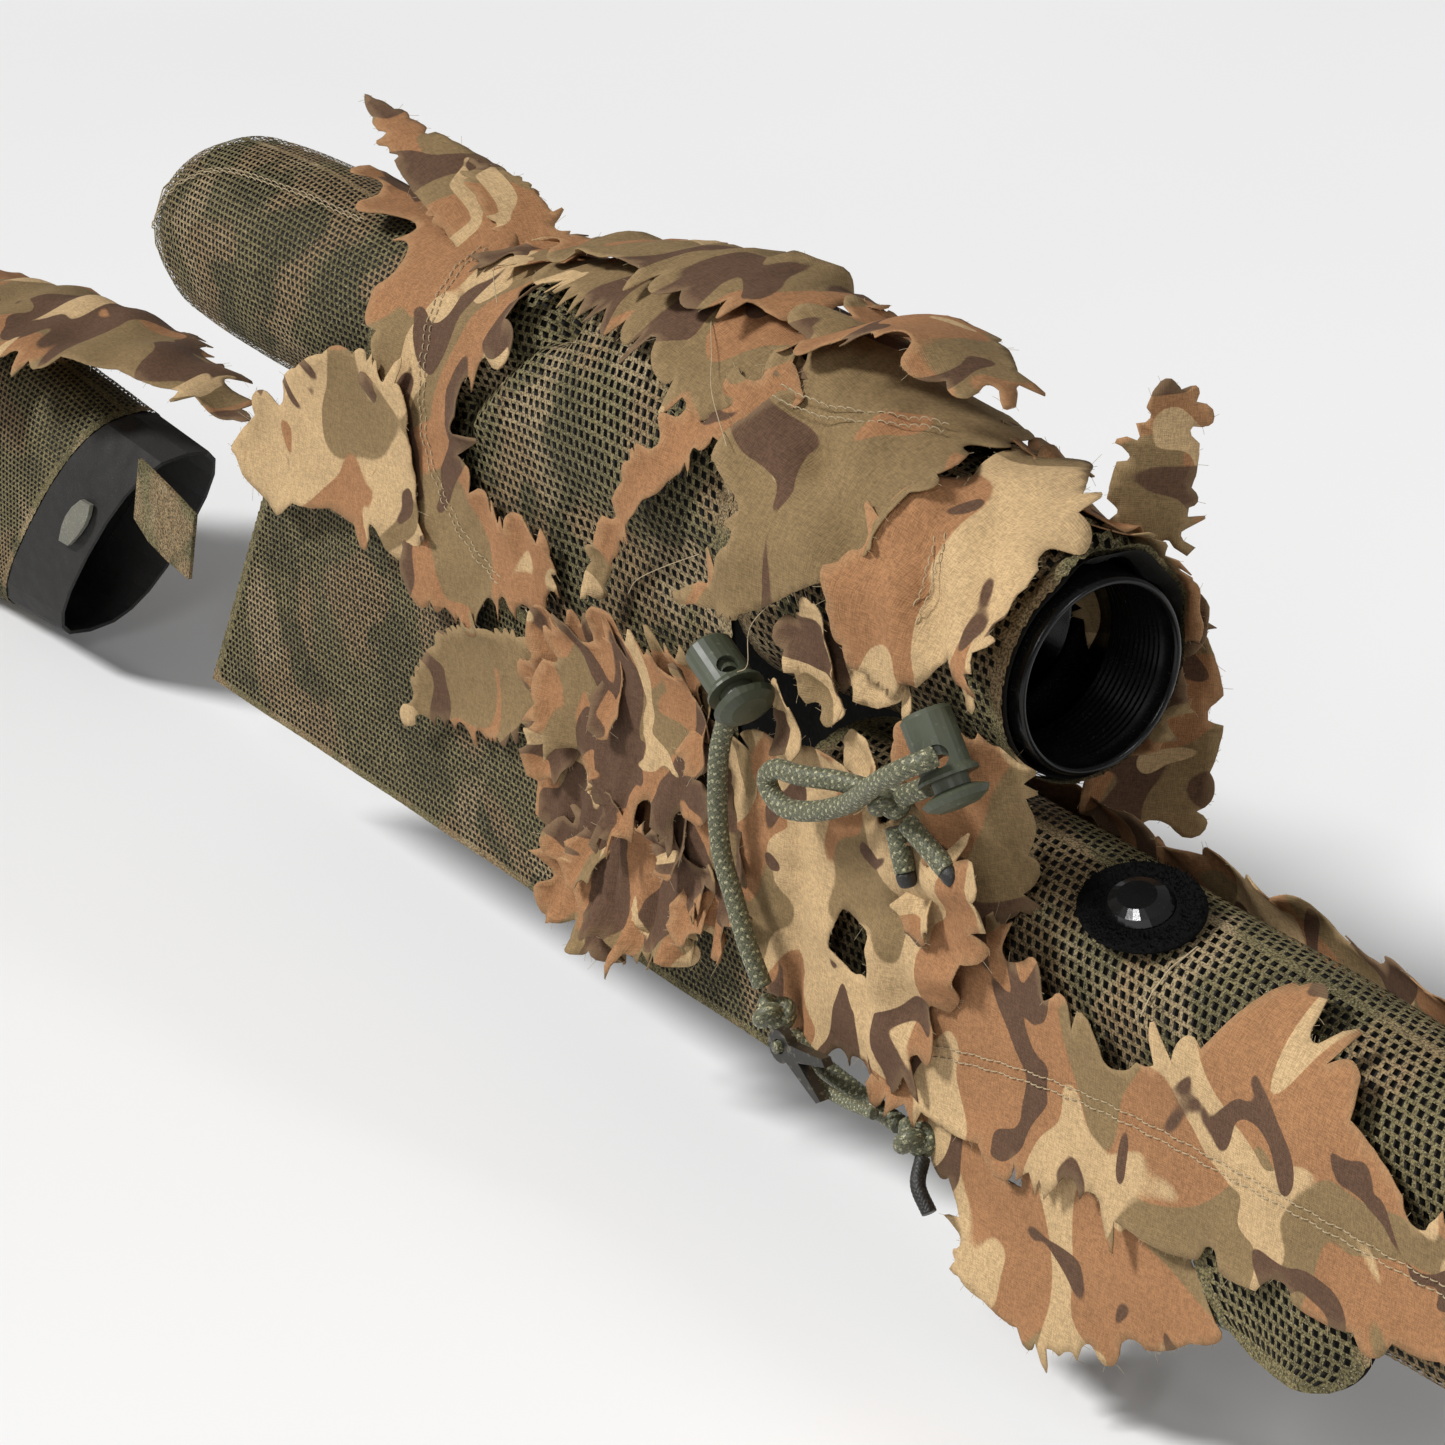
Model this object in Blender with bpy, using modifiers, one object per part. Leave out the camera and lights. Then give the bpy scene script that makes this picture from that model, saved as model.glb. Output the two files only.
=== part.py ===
"""Ghillie cover for a scoped rifle: mesh shells, cut cloth garlands, cords, cord locks and a tube.

Frame: origin on the sight axis at the middle of the sight, +X towards the muzzle, +Z up.
All sizes are in metres. MM turns a size written in millimetres into metres.
"""
import math

import bmesh
import bpy
from mathutils import Matrix, Vector

MM = 0.001
WELD_DISTANCE = 0.00005

# Mesh shells
MESH_WALL = 2.0 * MM
SEAM_GAP = 0.3 * MM
SADDLE_START_X = -160 * MM
HOOD_START_X = 60 * MM
HOOD_END_X = 184 * MM
PANEL_START_X = -289 * MM
PANEL_END_X = 74.7 * MM
SLEEVE_START_X = 75 * MM
SLEEVE_END_X = 430 * MM
SKIRT_Z = -60 * MM
HEM_Z = -166 * MM
SKIRT_HALF_WIDTH = 37 * MM
SIDE_HALF_WIDTH = 36 * MM
HEM_HALF_WIDTH = 33 * MM
BOLT_CUT_LENGTH = 60 * MM

# Sight cover sections: x, centre z, half width, half height
SIGHT_SECTIONS = (
    (-336, 4, 12, 12), (-331, 4, 22, 22), (-320, 4, 30, 30), (-303, 5, 36, 36), (-280, 5, 38, 38),
    (-240, 5, 39, 39), (-200, 4, 37, 37), (-160, 2, 35, 37), (-125, 2, 36, 39), (-90, 3, 38, 43),
    (-50, 6, 41, 52), (-10, 8, 44, 58), (30, 8, 44, 58), (70, 5, 41, 50), (105, 3, 39, 43),
    (140, 1, 36, 38), (172, 0, 33.6, 33.6), (200, 0, 33.6, 33.6),
)

# Fore-end sleeve sections: x, top z, half width, side bottom z, lowest z
SLEEVE_SECTIONS = (
    (75, -57, 33, -142, -158), (160, -57, 31, -140, -154),
    (260, -57, 30, -136, -150), (430, -61, 27, -130, -144),
)
SLEEVE_SHOULDER = 28 * MM
SLEEVE_LIP_Y = 11 * MM

# Stock cover sections: x, centre z, half width, half height
STOCK_SECTIONS = ((-620, -160, 22, 66), (-500, -157, 26, 66), (-400, -158, 25, 58), (-340, -158, 24, 54))
STOCK_START_X = -620 * MM
STOCK_BAND_START_X = -402 * MM
STOCK_BAND_END_X = -356 * MM
STOCK_SLANT = 0.85
STOCK_SEAM_GAP = 1.2 * MM

# Cloth garlands
CLOTH_LIFT = 1.0 * MM
CLOTH_THICKNESS = 1.8 * MM

# Sunshade tube
TUBE_RADIUS = 31 * MM
TUBE_WALL = 2.6 * MM
TUBE_START_X = 118 * MM
TUBE_END_X = 190 * MM
THREAD_DEPTH = 0.6 * MM
THREAD_COUNT = 4
THREAD_PITCH = 6.0 * MM

# Cords and cord locks
CORD_DIAMETER = 6.5 * MM
THIN_CORD_DIAMETER = 4.0 * MM
LOCK_RADIUS = 8.0 * MM
LOCK_FLATNESS = 0.8
LOCK_LENGTH = 21 * MM
LOCK_COLLAR_RADIUS = 9.6 * MM
LOCK_BORE_RADIUS = 6.0 * MM
LOCK_FLOOR = 2.0 * MM
STEM_RADIUS = 5.7 * MM
STEM_START = 9.5 * MM
HEAD_START = 25.5 * MM
HEAD_RADIUS = 10.6 * MM
HEAD_HEIGHT = 5.0 * MM
CORD_HOLE_RADIUS = 3.5 * MM
CORD_HOLE_HEIGHT = 14.5 * MM
PLUNGER_TRAVEL = 3.0 * MM
SPRING_RADIUS = 3.4 * MM
SPRING_WIRE = 0.8 * MM
SPRING_TURNS = 3
LOCK_A_HEAD = (89 * MM, -55 * MM, -32 * MM)
LOCK_A_AXIS = (0.92, -0.12, -0.36)
LOCK_A_WIDE = (0.24, 0.96, 0.15)
LOCK_B_HEAD = (188 * MM, -52 * MM, -26 * MM)
LOCK_B_AXIS = (0.62, -0.02, -0.78)
LOCK_B_WIDE = (0.50, 0.70, 0.50)

# Small hardware
HOOK_POINT = (106 * MM, -53 * MM, -143 * MM)
HOOK_THICKNESS = 3.6 * MM
BUTTON_X = 226 * MM
BUTTON_U = 0.26
BUTTON_TILT = math.radians(24)
FELT_INSIDE = 8.6 * MM
FELT_OUTSIDE = 17 * MM
FELT_THICKNESS = 1.6 * MM
FELT_OVAL = (1.35, 1.0)

COLORS = {
    "mesh": (0.16, 0.15, 0.10), "khaki": (0.46, 0.37, 0.24), "rust": (0.40, 0.23, 0.13),
    "brown": (0.17, 0.11, 0.08), "cream": (0.62, 0.50, 0.34), "cord": (0.13, 0.14, 0.09),
    "black": (0.015, 0.015, 0.015), "olive": (0.12, 0.13, 0.08), "steel": (0.10, 0.10, 0.11),
    "spring": (0.45, 0.45, 0.47), "webbing": (0.17, 0.17, 0.16),
}


# ---------- scene set-up ----------

def clear_scene():
    """Removes every object that is in the file at the start."""
    for item in list(bpy.data.objects):
        bpy.data.objects.remove(item, do_unlink=True)


def make_collection(name):
    """Adds a collection to the scene."""
    collection = bpy.data.collections.new(name)
    bpy.context.scene.collection.children.link(collection)
    return collection


def make_material(name, color, roughness=0.8, metallic=0.0):
    """Makes one Principled material."""
    material = bpy.data.materials.new(name)
    material.use_nodes = True
    shader = material.node_tree.nodes["Principled BSDF"]
    shader.inputs["Base Color"].default_value = (*color, 1.0)
    shader.inputs["Roughness"].default_value = roughness
    shader.inputs["Metallic"].default_value = metallic
    material.diffuse_color = (*color, 1.0)
    return material


clear_scene()
PARTS = make_collection("ghillie_rifle_cover")
CUTTERS = make_collection("cutters")


def add_object(name, data, look, roughness=0.8, metallic=0.0):
    """Puts mesh or curve data into the parts collection with its own material."""
    item = bpy.data.objects.new(name, data)
    PARTS.objects.link(item)
    data.materials.append(make_material(name + "_material", COLORS[look], roughness, metallic))
    if item.type == "MESH":
        data.shade_smooth()
    return item


def add_cutter(name, data, matrix):
    """Puts an object that only cuts others into the cutters collection."""
    item = bpy.data.objects.new(name, data)
    CUTTERS.objects.link(item)
    item.matrix_world = matrix
    item.hide_render = True
    item.display_type = "WIRE"
    return item


def evaluated_mesh(item):
    """Mesh of an object with its modifiers applied, its caps welded and its faces pointing out."""
    bpy.context.view_layer.update()
    graph = bpy.context.evaluated_depsgraph_get()
    mesh = bpy.data.meshes.new_from_object(item.evaluated_get(graph))
    mesh.materials.clear()
    work = bmesh.new()
    work.from_mesh(mesh)
    bmesh.ops.remove_doubles(work, verts=work.verts, dist=WELD_DISTANCE)
    bmesh.ops.recalc_face_normals(work, faces=work.faces)
    work.to_mesh(mesh)
    work.free()
    return mesh


# ---------- surfaces the cloth follows ----------
# Each surface takes x and u and gives (y, z). u is 0 along the top and grows down the -Y side;
# a negative u is the same place on the +Y side.

def table_row(table, x):
    """Reads a table of sections at x, with straight lines between the rows, in metres."""
    rows = [[value * MM for value in row] for row in table]
    if x <= rows[0][0]:
        return rows[0][1:]
    for low, high in zip(rows, rows[1:]):
        if x <= high[0]:
            share = (x - low[0]) / (high[0] - low[0])
            return [a + (b - a) * share for a, b in zip(low[1:], high[1:])]
    return rows[-1][1:]


def line(start, end, share):
    """Point part of the way from start to end."""
    return tuple(a + (b - a) * share for a, b in zip(start, end))


def sight_profile(x, u):
    """Whole ring round the sight: u 1 is the widest point and u 2 the bottom."""
    centre_z, half_width, half_height = table_row(SIGHT_SECTIONS, x)
    angle = u * math.pi / 2
    return -half_width * math.sin(angle), centre_z + half_height * math.cos(angle)


def cover_profile(x, u):
    """Arch over the sight to u 1, skirt to u 2, side panel to u 3."""
    if u <= 1:
        return sight_profile(x, u)
    if u <= 2:
        return line(sight_profile(x, 1), (-SKIRT_HALF_WIDTH, SKIRT_Z), u - 1)
    if u <= 2.5:
        middle_z = (SKIRT_Z + HEM_Z) / 2
        return line((-SKIRT_HALF_WIDTH, SKIRT_Z), (-SIDE_HALF_WIDTH, middle_z), (u - 2) * 2)
    return line((-SIDE_HALF_WIDTH, (SKIRT_Z + HEM_Z) / 2), (-HEM_HALF_WIDTH, HEM_Z), (u - 2.5) * 2)


def rear_profile(x, u):
    """Low arch over the receiver to u 1, then down the side panel."""
    if u <= 1:
        angle = u * math.pi / 2
        return -SKIRT_HALF_WIDTH * math.sin(angle), SKIRT_Z + 9 * MM * math.cos(angle) + SEAM_GAP
    return cover_profile(x, u + 1)


def sleeve_profile(x, u):
    """Shoulder to u 1, side to u 2, curl under the fore-end to u 3."""
    top_z, half_width, side_z, low_z = table_row(SLEEVE_SECTIONS, x)
    if u <= 1:
        angle = u * math.pi / 2
        drop = SLEEVE_SHOULDER * (1 - math.cos(angle))
        return -half_width * math.sin(angle), top_z - drop
    if u <= 2:
        return line((-half_width, top_z - SLEEVE_SHOULDER), (-half_width, side_z), u - 1)
    angle = (u - 2) * math.pi / 2
    reach = half_width - SLEEVE_LIP_Y
    return -half_width + reach * (1 - math.cos(angle)), side_z + (low_z - side_z) * math.sin(angle)


def stock_profile(x, u):
    """Ring round the stock: u 1 is the widest point and u 2 the bottom."""
    centre_z, half_width, half_height = table_row(STOCK_SECTIONS, x)
    angle = u * math.pi / 2
    side = math.copysign(abs(math.sin(angle)) ** 0.7, math.sin(angle))
    up = math.copysign(abs(math.cos(angle)) ** 0.8, math.cos(angle))
    return -half_width * side, centre_z + half_height * up


def curtain_profile(x, u):
    """Flat hanging cloth outside the fore-end: u is the height in units of 100 mm below the axis."""
    return -40 * MM - 1.5 * MM * math.sin(x * 90), -u * 100 * MM


def surface_point(profile, x, u, lift=0.0):
    """Point on a surface, moved outwards by lift."""
    step = 0.01
    u_side = abs(u)
    y, z = profile(x, u_side)
    y_next, z_next = profile(x, u_side + step)
    y_last, z_last = profile(x, u_side - step)
    along = Vector((y_next - y_last, z_next - z_last)).normalized()
    y += along.y * lift
    z -= along.x * lift
    if u < 0:
        y = -y
    if profile is stock_profile:
        share = min(max((x - STOCK_START_X) / (220 * MM), 0.0), 1.0)
        x += STOCK_SLANT * share * (z + 98 * MM)
    return Vector((x, y, z))


def u_length(profile, x, u):
    """Length of one unit of u at a place on a surface."""
    low = Vector(profile(x, abs(u) - 0.02))
    high = Vector(profile(x, abs(u) + 0.02))
    return max((high - low).length / 0.04, 10 * MM)


# ---------- cloth solids: an open lofted surface with Solidify ----------

def lofted_mesh(name, grid, outward, ring=False, cap_start=False):
    """Open surface through a grid of points, with its faces towards outward.

    ring joins the last column to the first, and cap_start closes the first row with one face."""
    rows, columns = len(grid), len(grid[0])
    work = bmesh.new()
    spots = [[work.verts.new(place) for place in row] for row in grid]
    for row in range(rows - 1):
        for column in range(columns if ring else columns - 1):
            after = (column + 1) % columns
            work.faces.new((spots[row][column], spots[row + 1][column],
                            spots[row + 1][after], spots[row][after]))
    if cap_start:
        work.faces.new(spots[0])
    bmesh.ops.recalc_face_normals(work, faces=work.faces)
    work.normal_update()
    middle = spots[rows // 2][columns // 2]
    if middle.normal.dot(outward) < 0:
        bmesh.ops.reverse_faces(work, faces=work.faces)
    mesh = bpy.data.meshes.new(name)
    work.to_mesh(mesh)
    work.free()
    return mesh


def thicken(item, thickness, offset):
    """Gives an open surface its thickness: offset -1 is inwards, 1 outwards, 0 both ways."""
    solidify = item.modifiers.new("thickness", "SOLIDIFY")
    solidify.thickness = thickness
    solidify.offset = offset


def spread(start, end, count):
    """Evenly spaced values from start to end, both included."""
    return [start + (end - start) * i / (count - 1) for i in range(count)]


def outward_at(profile, x, u):
    """Direction out of a surface at one place."""
    return surface_point(profile, x, u, MM) - surface_point(profile, x, u)


def shell(name, profile, x_values, u_values, look, wall=MESH_WALL, ring=False, cap_start=False, edge=None):
    """Cloth shell with its outer face on the surface. edge(x, u) may move a point along x."""
    grid = [[surface_point(profile, edge(x, u) if edge else x, u) for u in u_values] for x in x_values]
    outward = outward_at(profile, x_values[len(x_values) // 2], u_values[len(u_values) // 2])
    item = add_object(name, lofted_mesh(name, grid, outward, ring, cap_start), look)
    thicken(item, wall, -1)
    return item


def wave(turns):
    """Triangle wave between -1 and 1."""
    return 1 - 4 * abs(turns % 1.0 - 0.5)


def path_at(path, share):
    """Point on a path of (x, u) places given in millimetres and u."""
    place = share * (len(path) - 1)
    index = min(int(place), len(path) - 2)
    return line(path[index], path[index + 1], place - index)


def garland(name, profile, path, half_width, look, lobes=3, rows=18, ruffle=0.0, puff=0.0):
    """Leaf-edged strip of cloth laid along a path on a surface."""
    grid = []
    for i in range(rows + 1):
        share = i / rows
        x, u = path_at(path, share)
        x_next, u_next = path_at(path, min(share + 0.02, 1))
        x_last, u_last = path_at(path, max(share - 0.02, 0))
        scale = u_length(profile, x * MM, u)
        along = Vector(((x_next - x_last) * MM, (u_next - u_last) * scale)).normalized()
        taper = 0.25 + 0.75 * math.sin(math.pi * min(max(share, 0.04), 0.96)) ** 0.5
        row = []
        for side in (-1.0, -0.4, 0.4, 1.0):
            lobe = 1 + 0.22 * wave(lobes * share + 0.3 * side)
            reach = half_width * MM * side * taper * lobe
            place_x = x * MM - along.y * reach
            place_u = u + along.x * reach / scale
            curl = ruffle * MM * abs(side) * (0.5 + 0.5 * math.sin(2 * math.pi * lobes * share + side))
            lift = CLOTH_LIFT + curl + puff * MM * math.sin(math.pi * share)
            row.append(surface_point(profile, place_x, place_u, lift))
        grid.append(row)
    x, u = path_at(path, (rows // 2 + 0.5) / rows)
    item = add_object(name, lofted_mesh(name, grid, outward_at(profile, x * MM, u)), look)
    thicken(item, CLOTH_THICKNESS, 1)
    return item


def ribbon(name, centres, across, half_widths, look, thickness=1.6 * MM, cup=0.0):
    """Free-standing leaf: a thin strip through centre points, given in millimetres."""
    stops = mm_points(*centres)
    side = Vector(across).normalized()
    grid = []
    for i, centre in enumerate(stops):
        ahead = stops[min(i + 1, len(stops) - 1)] - stops[max(i - 1, 0)]
        normal = ahead.cross(side).normalized()
        grid.append([centre + side * share * half_widths[i] * MM + normal * cup * MM * share * share
                     for share in (-1.0, -0.4, 0.4, 1.0)])
    item = add_object(name, lofted_mesh(name, grid, normal), look)
    thicken(item, thickness, 0)
    return item


# ---------- turned, swept and flat pieces ----------

def turned(name, profile, look, roughness=0.8, metallic=0.0, steps=24, closed=False, oval=(1.0, 1.0)):
    """Solid of a profile turned about Z. The profile is (radius, height) points that run down the
    outer side; closed joins its last point to its first. oval scales the result along X and Y."""
    mesh = bpy.data.meshes.new(name)
    edges = [(i, i + 1) for i in range(len(profile) - 1)]
    if closed:
        edges.append((len(profile) - 1, 0))
    mesh.from_pydata([(radius, 0.0, height) for radius, height in profile], edges, [])
    draft = bpy.data.objects.new(name + "_profile", mesh)
    CUTTERS.objects.link(draft)
    screw = draft.modifiers.new("turn", "SCREW")
    screw.axis = "Z"
    screw.angle = math.tau
    screw.steps = steps
    screw.render_steps = steps
    screw.use_merge_vertices = True
    screw.merge_threshold = WELD_DISTANCE
    solid = evaluated_mesh(draft)
    bpy.data.objects.remove(draft, do_unlink=True)
    solid.name = name
    solid.transform(Matrix.Diagonal((oval[0], oval[1], 1.0, 1.0)))
    return add_object(name, solid, look, roughness, metallic)


def frame_matrix(origin, axis, wide):
    """Matrix whose Z lies along axis and whose X lies along wide."""
    z = Vector(axis).normalized()
    x = Vector(wide)
    x = (x - z * x.dot(z)).normalized()
    y = z.cross(x)
    rotation = Matrix((x, y, z)).transposed()
    return Matrix.Translation(Vector(origin)) @ rotation.to_4x4()


def smooth_path(points, count):
    """Points spread along a Catmull-Rom curve through the given points."""
    stops = [Vector(p) for p in points]
    ends = [stops[0] * 2 - stops[1]] + stops + [stops[-1] * 2 - stops[-2]]
    result = []
    for i in range(count):
        place = i / (count - 1) * (len(stops) - 1)
        k = min(int(place), len(stops) - 2)
        t = place - k
        a, b, c, d = ends[k:k + 4]
        result.append(0.5 * ((2 * b) + (c - a) * t + (2 * a - 5 * b + 4 * c - d) * t * t
                             + (3 * b - a - 3 * c + d) * t ** 3))
    return result


def rod(name, points, diameter, look, roughness=0.8, metallic=0.0, resolution=2):
    """Round rod along a line of points, in metres, with flat ends."""
    curve = bpy.data.curves.new(name, "CURVE")
    curve.dimensions = "3D"
    curve.bevel_depth = diameter / 2
    curve.bevel_resolution = resolution
    curve.use_fill_caps = True
    spline = curve.splines.new("POLY")
    spline.points.add(len(points) - 1)
    for spot, place in zip(spline.points, points):
        spot.co = (*place, 1.0)
    return add_object(name, curve, look, roughness, metallic)


def mm_points(*points):
    """Points written in millimetres, as metres."""
    return [Vector(point) * MM for point in points]


def lump(name, centre, radii, look, roughness=0.8):
    """Rounded lump, such as a knot, with its centre in millimetres."""
    mesh = bpy.data.meshes.new(name)
    work = bmesh.new()
    bmesh.ops.create_uvsphere(work, u_segments=12, v_segments=8, radius=1.0)
    for vertex in work.verts:
        vertex.co = Vector([v * r * MM for v, r in zip(vertex.co, radii)])
    work.to_mesh(mesh)
    work.free()
    item = add_object(name, mesh, look, roughness)
    item.location = Vector(centre) * MM
    return item


def cut(item, tool):
    """Cuts tool out of item."""
    modifier = item.modifiers.new("cut_" + tool.name, "BOOLEAN")
    modifier.operation = "DIFFERENCE"
    modifier.solver = "EXACT"
    modifier.object = tool


def box_mesh(name, size):
    """Box of the given size about its own centre."""
    mesh = bpy.data.meshes.new(name)
    work = bmesh.new()
    bmesh.ops.create_cube(work, size=1.0)
    bmesh.ops.scale(work, vec=size, verts=work.verts)
    work.to_mesh(mesh)
    work.free()
    return mesh


def cylinder_mesh(name, radius, length, segments=16):
    """Cylinder along Z about its own centre."""
    mesh = bpy.data.meshes.new(name)
    work = bmesh.new()
    bmesh.ops.create_cone(work, cap_ends=True, segments=segments, radius1=radius, radius2=radius,
                          depth=length)
    work.to_mesh(mesh)
    work.free()
    return mesh


# ---------- the mesh shells ----------

def build_mesh_shells():
    """Sewn mesh panels that make the tunnel, the side panels and the sleeve."""
    ring_u = [-2 + 4 * i / 20 for i in range(20)]
    sock_x = [row[0] * MM for row in SIGHT_SECTIONS if row[0] < -170] + [SADDLE_START_X - SEAM_GAP]
    shell("rear_sock", sight_profile, sock_x, ring_u, "mesh", ring=True, cap_start=True)

    arch_u = spread(-2, 2, 17)
    shell("scope_saddle", cover_profile, spread(SADDLE_START_X, HOOD_START_X, 9), arch_u, "mesh")

    hood_x = [HOOD_START_X + SEAM_GAP] + [x * MM for x in (70, 88, 105, 122, 140, 156, 172)] + [HOOD_END_X]
    shell("front_hood", sight_profile, hood_x, ring_u, "mesh", ring=True)

    def bolt_cut(x, u):
        """Slopes the rear edge forward towards the top, where the bolt sits."""
        share = (PANEL_END_X - x) / (PANEL_END_X - PANEL_START_X)
        return x + BOLT_CUT_LENGTH * share * (3 - abs(u))

    panel_x = spread(PANEL_START_X, PANEL_END_X, 10)
    panel_u = spread(2.01, 3, 6)
    shell("side_panel_right", cover_profile, panel_x, panel_u, "mesh", edge=bolt_cut)
    shell("side_panel_left", cover_profile, panel_x, [-u for u in panel_u], "mesh")

    bridge_x = spread(-258 * MM, -164 * MM, 4)
    shell("receiver_bridge", rear_profile, bridge_x, spread(-0.98, 0.98, 9), "mesh")

    sleeve_x = [SLEEVE_START_X] + [x * MM for x in (115, 160, 210, 260, 315, 370)] + [SLEEVE_END_X]
    sleeve_u = [0.03, 0.33, 0.66, 1, 1.5, 2, 2.33, 2.66, 3]
    shell("forend_sleeve_right", sleeve_profile, sleeve_x, sleeve_u, "mesh")
    shell("forend_sleeve_left", sleeve_profile, sleeve_x, [-u for u in sleeve_u], "mesh")

    stock_x = [x * MM for x in (-620, -575, -530, -490, -445)] + [STOCK_BAND_START_X - STOCK_SEAM_GAP]
    shell("stock_sleeve", stock_profile, stock_x, ring_u, "mesh", ring=True)
    shell("stock_band", stock_profile, [STOCK_BAND_START_X, STOCK_BAND_END_X], ring_u, "black",
          wall=1.6 * MM, ring=True)
    ribbon("tail_strap", [(-352, -27, -109), (-338, -28.5, -112), (-322, -29, -115), (-306, -29, -118)],
           (0.25, 0.0, 0.97), [14, 16, 16, 15], "mesh")


# ---------- the cloth garlands ----------

def build_garlands():
    """Cut cloth strips with leaf edges, sewn over the mesh."""
    garland("collar_garland", cover_profile, [(-144, -1.9), (-144, 1.9)], 12.5, "rust",
            lobes=7, rows=28, ruffle=7)
    garland("top_garland", cover_profile, [(-124, 0.02), (-40, 0.02), (42, 0.02)], 19, "brown",
            lobes=5, ruffle=5)
    garland("shoulder_leaf_right", cover_profile, [(52, 0.92), (84, 0.8), (134, 0.7)], 25, "khaki",
            lobes=2, rows=14, ruffle=4, puff=10)
    garland("band_leaf_right", cover_profile, [(-40, 1.72), (-26, 1.1), (-6, 0.62)], 9, "cream",
            lobes=2, rows=12, ruffle=3)
    garland("hood_garland_right", cover_profile, [(164, 0.22), (164, 1.34)], 12, "cream",
            lobes=4, rows=14, ruffle=7)
    garland("side_garland_right", cover_profile, [(4, 1.6), (8, 2.3), (4, 2.92)], 34, "rust",
            lobes=4, rows=16, ruffle=6)
    garland("rear_leaf_right", cover_profile, [(-58, 2.22), (-100, 2.28), (-150, 2.42)], 22, "khaki",
            lobes=2, rows=12, ruffle=3)
    garland("side_strip_right", cover_profile, [(148, 1.8), (142, 2.3), (118, 2.82)], 32, "cream",
            lobes=3, rows=14, ruffle=3)
    garland("forend_strip_right", sleeve_profile, [(190, 1.5), (300, 1.45), (424, 1.45)], 15, "rust",
            lobes=4, rows=14, ruffle=2)
    garland("forend_leaf_right", curtain_profile, [(226, 1.2), (226, 1.6), (222, 2.06)], 48, "cream",
            lobes=2, rows=12)
    ribbon("rear_corner_leaf", [(-162, -43, -24), (-184, -43.5, -34), (-208, -43, -44), (-232, -43, -56),
                                (-250, -43, -66)],
           (0.35, 0.0, 0.94), [18, 25, 25, 20, 8], "cream", cup=2)
    ribbon("upright_leaf_rear", [(-132, 4, 54), (-158, 4, 66), (-184, 3, 73), (-214, 2, 81)],
           (0.2, 0.7, 0.3), [12, 10, 8, 2.5], "rust", cup=3)
    ribbon("crown_leaf", [(62, -2, 64), (80, -2, 76), (100, 0, 85), (120, 2, 88), (136, 3, 79)],
           (0.0, 1.0, 0.0), [9, 15, 17, 15, 8], "rust", cup=-4)
    ribbon("upright_leaf_front", [(174, 20, 40), (176, 21, 53), (177, 21, 66), (178, 21, 78)],
           (0.59, 0.81, 0.0), [11, 14, 13, 9], "khaki", cup=2)
    ribbon("stock_leaf", [(-606, 4, -88), (-540, 4, -84), (-470, 4, -77), (-405, 4, -70),
                          (-355, 4, -72), (-314, 4, -82)],
           (0.0, 0.9, -0.4), [26, 27, 24, 20, 13, 3], "brown", cup=-7)
    build_hidden_side_garlands()


def build_hidden_side_garlands():
    """The same kinds of strip on the +Y side."""
    garland("shoulder_leaf_left", cover_profile, [(52, -1.12), (84, -0.95), (134, -0.82)], 25, "brown",
            lobes=2, rows=14, ruffle=4, puff=10)
    garland("hood_garland_left", sight_profile, [(166, -0.2), (166, -1.66)], 14, "brown",
            lobes=4, rows=16, ruffle=7)
    garland("side_garland_left", cover_profile, [(-20, -1.72), (-8, -2.3), (-16, -2.92)], 30, "khaki",
            lobes=4, rows=16, ruffle=6)
    garland("rear_leaf_left", cover_profile, [(-84, -2.3), (-130, -2.3), (-176, -2.4)], 17, "rust",
            lobes=2, rows=12, ruffle=3)
    garland("forend_strip_left", sleeve_profile, [(110, -1.3), (270, -1.35), (424, -1.3)], 15, "brown",
            lobes=6, ruffle=3)


# ---------- tube, button, hook and tab ----------

def build_sunshade_tube():
    """Open tube with a rolled front rim and shallow thread rings inside."""
    bore = TUBE_RADIUS - TUBE_WALL
    length = TUBE_END_X - TUBE_START_X
    profile = [(bore + 0.6 * MM, length), (TUBE_RADIUS - 1 * MM, length), (TUBE_RADIUS, length - 1 * MM)]
    profile += [(TUBE_RADIUS, 0.0), (bore, 0.0)]
    for ring in reversed(range(THREAD_COUNT)):
        top = length - 8 * MM - ring * THREAD_PITCH
        profile += [(bore, top - 3 * MM), (bore - THREAD_DEPTH, top - 2 * MM)]
        profile += [(bore - THREAD_DEPTH, top - 1 * MM), (bore, top)]
    profile.append((bore, length - 1 * MM))
    tube = turned("sunshade_tube", profile, "black", 0.15, steps=28, closed=True)
    tube.matrix_world = frame_matrix((TUBE_START_X, 0, 0), (1, 0, 0), (0, 1, 0))


def build_button():
    """Snap button in a felt-bound oval on the top of the fore-end sleeve."""
    up = Vector((0, -math.sin(BUTTON_TILT), math.cos(BUTTON_TILT)))
    spot = surface_point(sleeve_profile, BUTTON_X, BUTTON_U, 2.4 * MM)
    place = frame_matrix(spot, up, (1, 0, 0))
    felt_ring = [(FELT_INSIDE, FELT_THICKNESS), (FELT_OUTSIDE, FELT_THICKNESS), (FELT_OUTSIDE, 0), (FELT_INSIDE, 0)]
    felt = turned("felt_binding", felt_ring, "black", 0.95, closed=True, oval=FELT_OVAL)
    base = turned("snap_base", [(0, 1.2 * MM), (8 * MM, 1.2 * MM), (8 * MM, 0), (0, 0)], "black", 0.3)
    cap = turned("snap_cap", [(0, 6.4 * MM), (5.5 * MM, 5.8 * MM), (8.4 * MM, 4.2 * MM),
                              (9.4 * MM, 2.0 * MM), (0, 1.5 * MM)], "black", 0.12, oval=(1.25, 1.0))
    for item in (felt, base, cap):
        item.matrix_world = place


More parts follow.
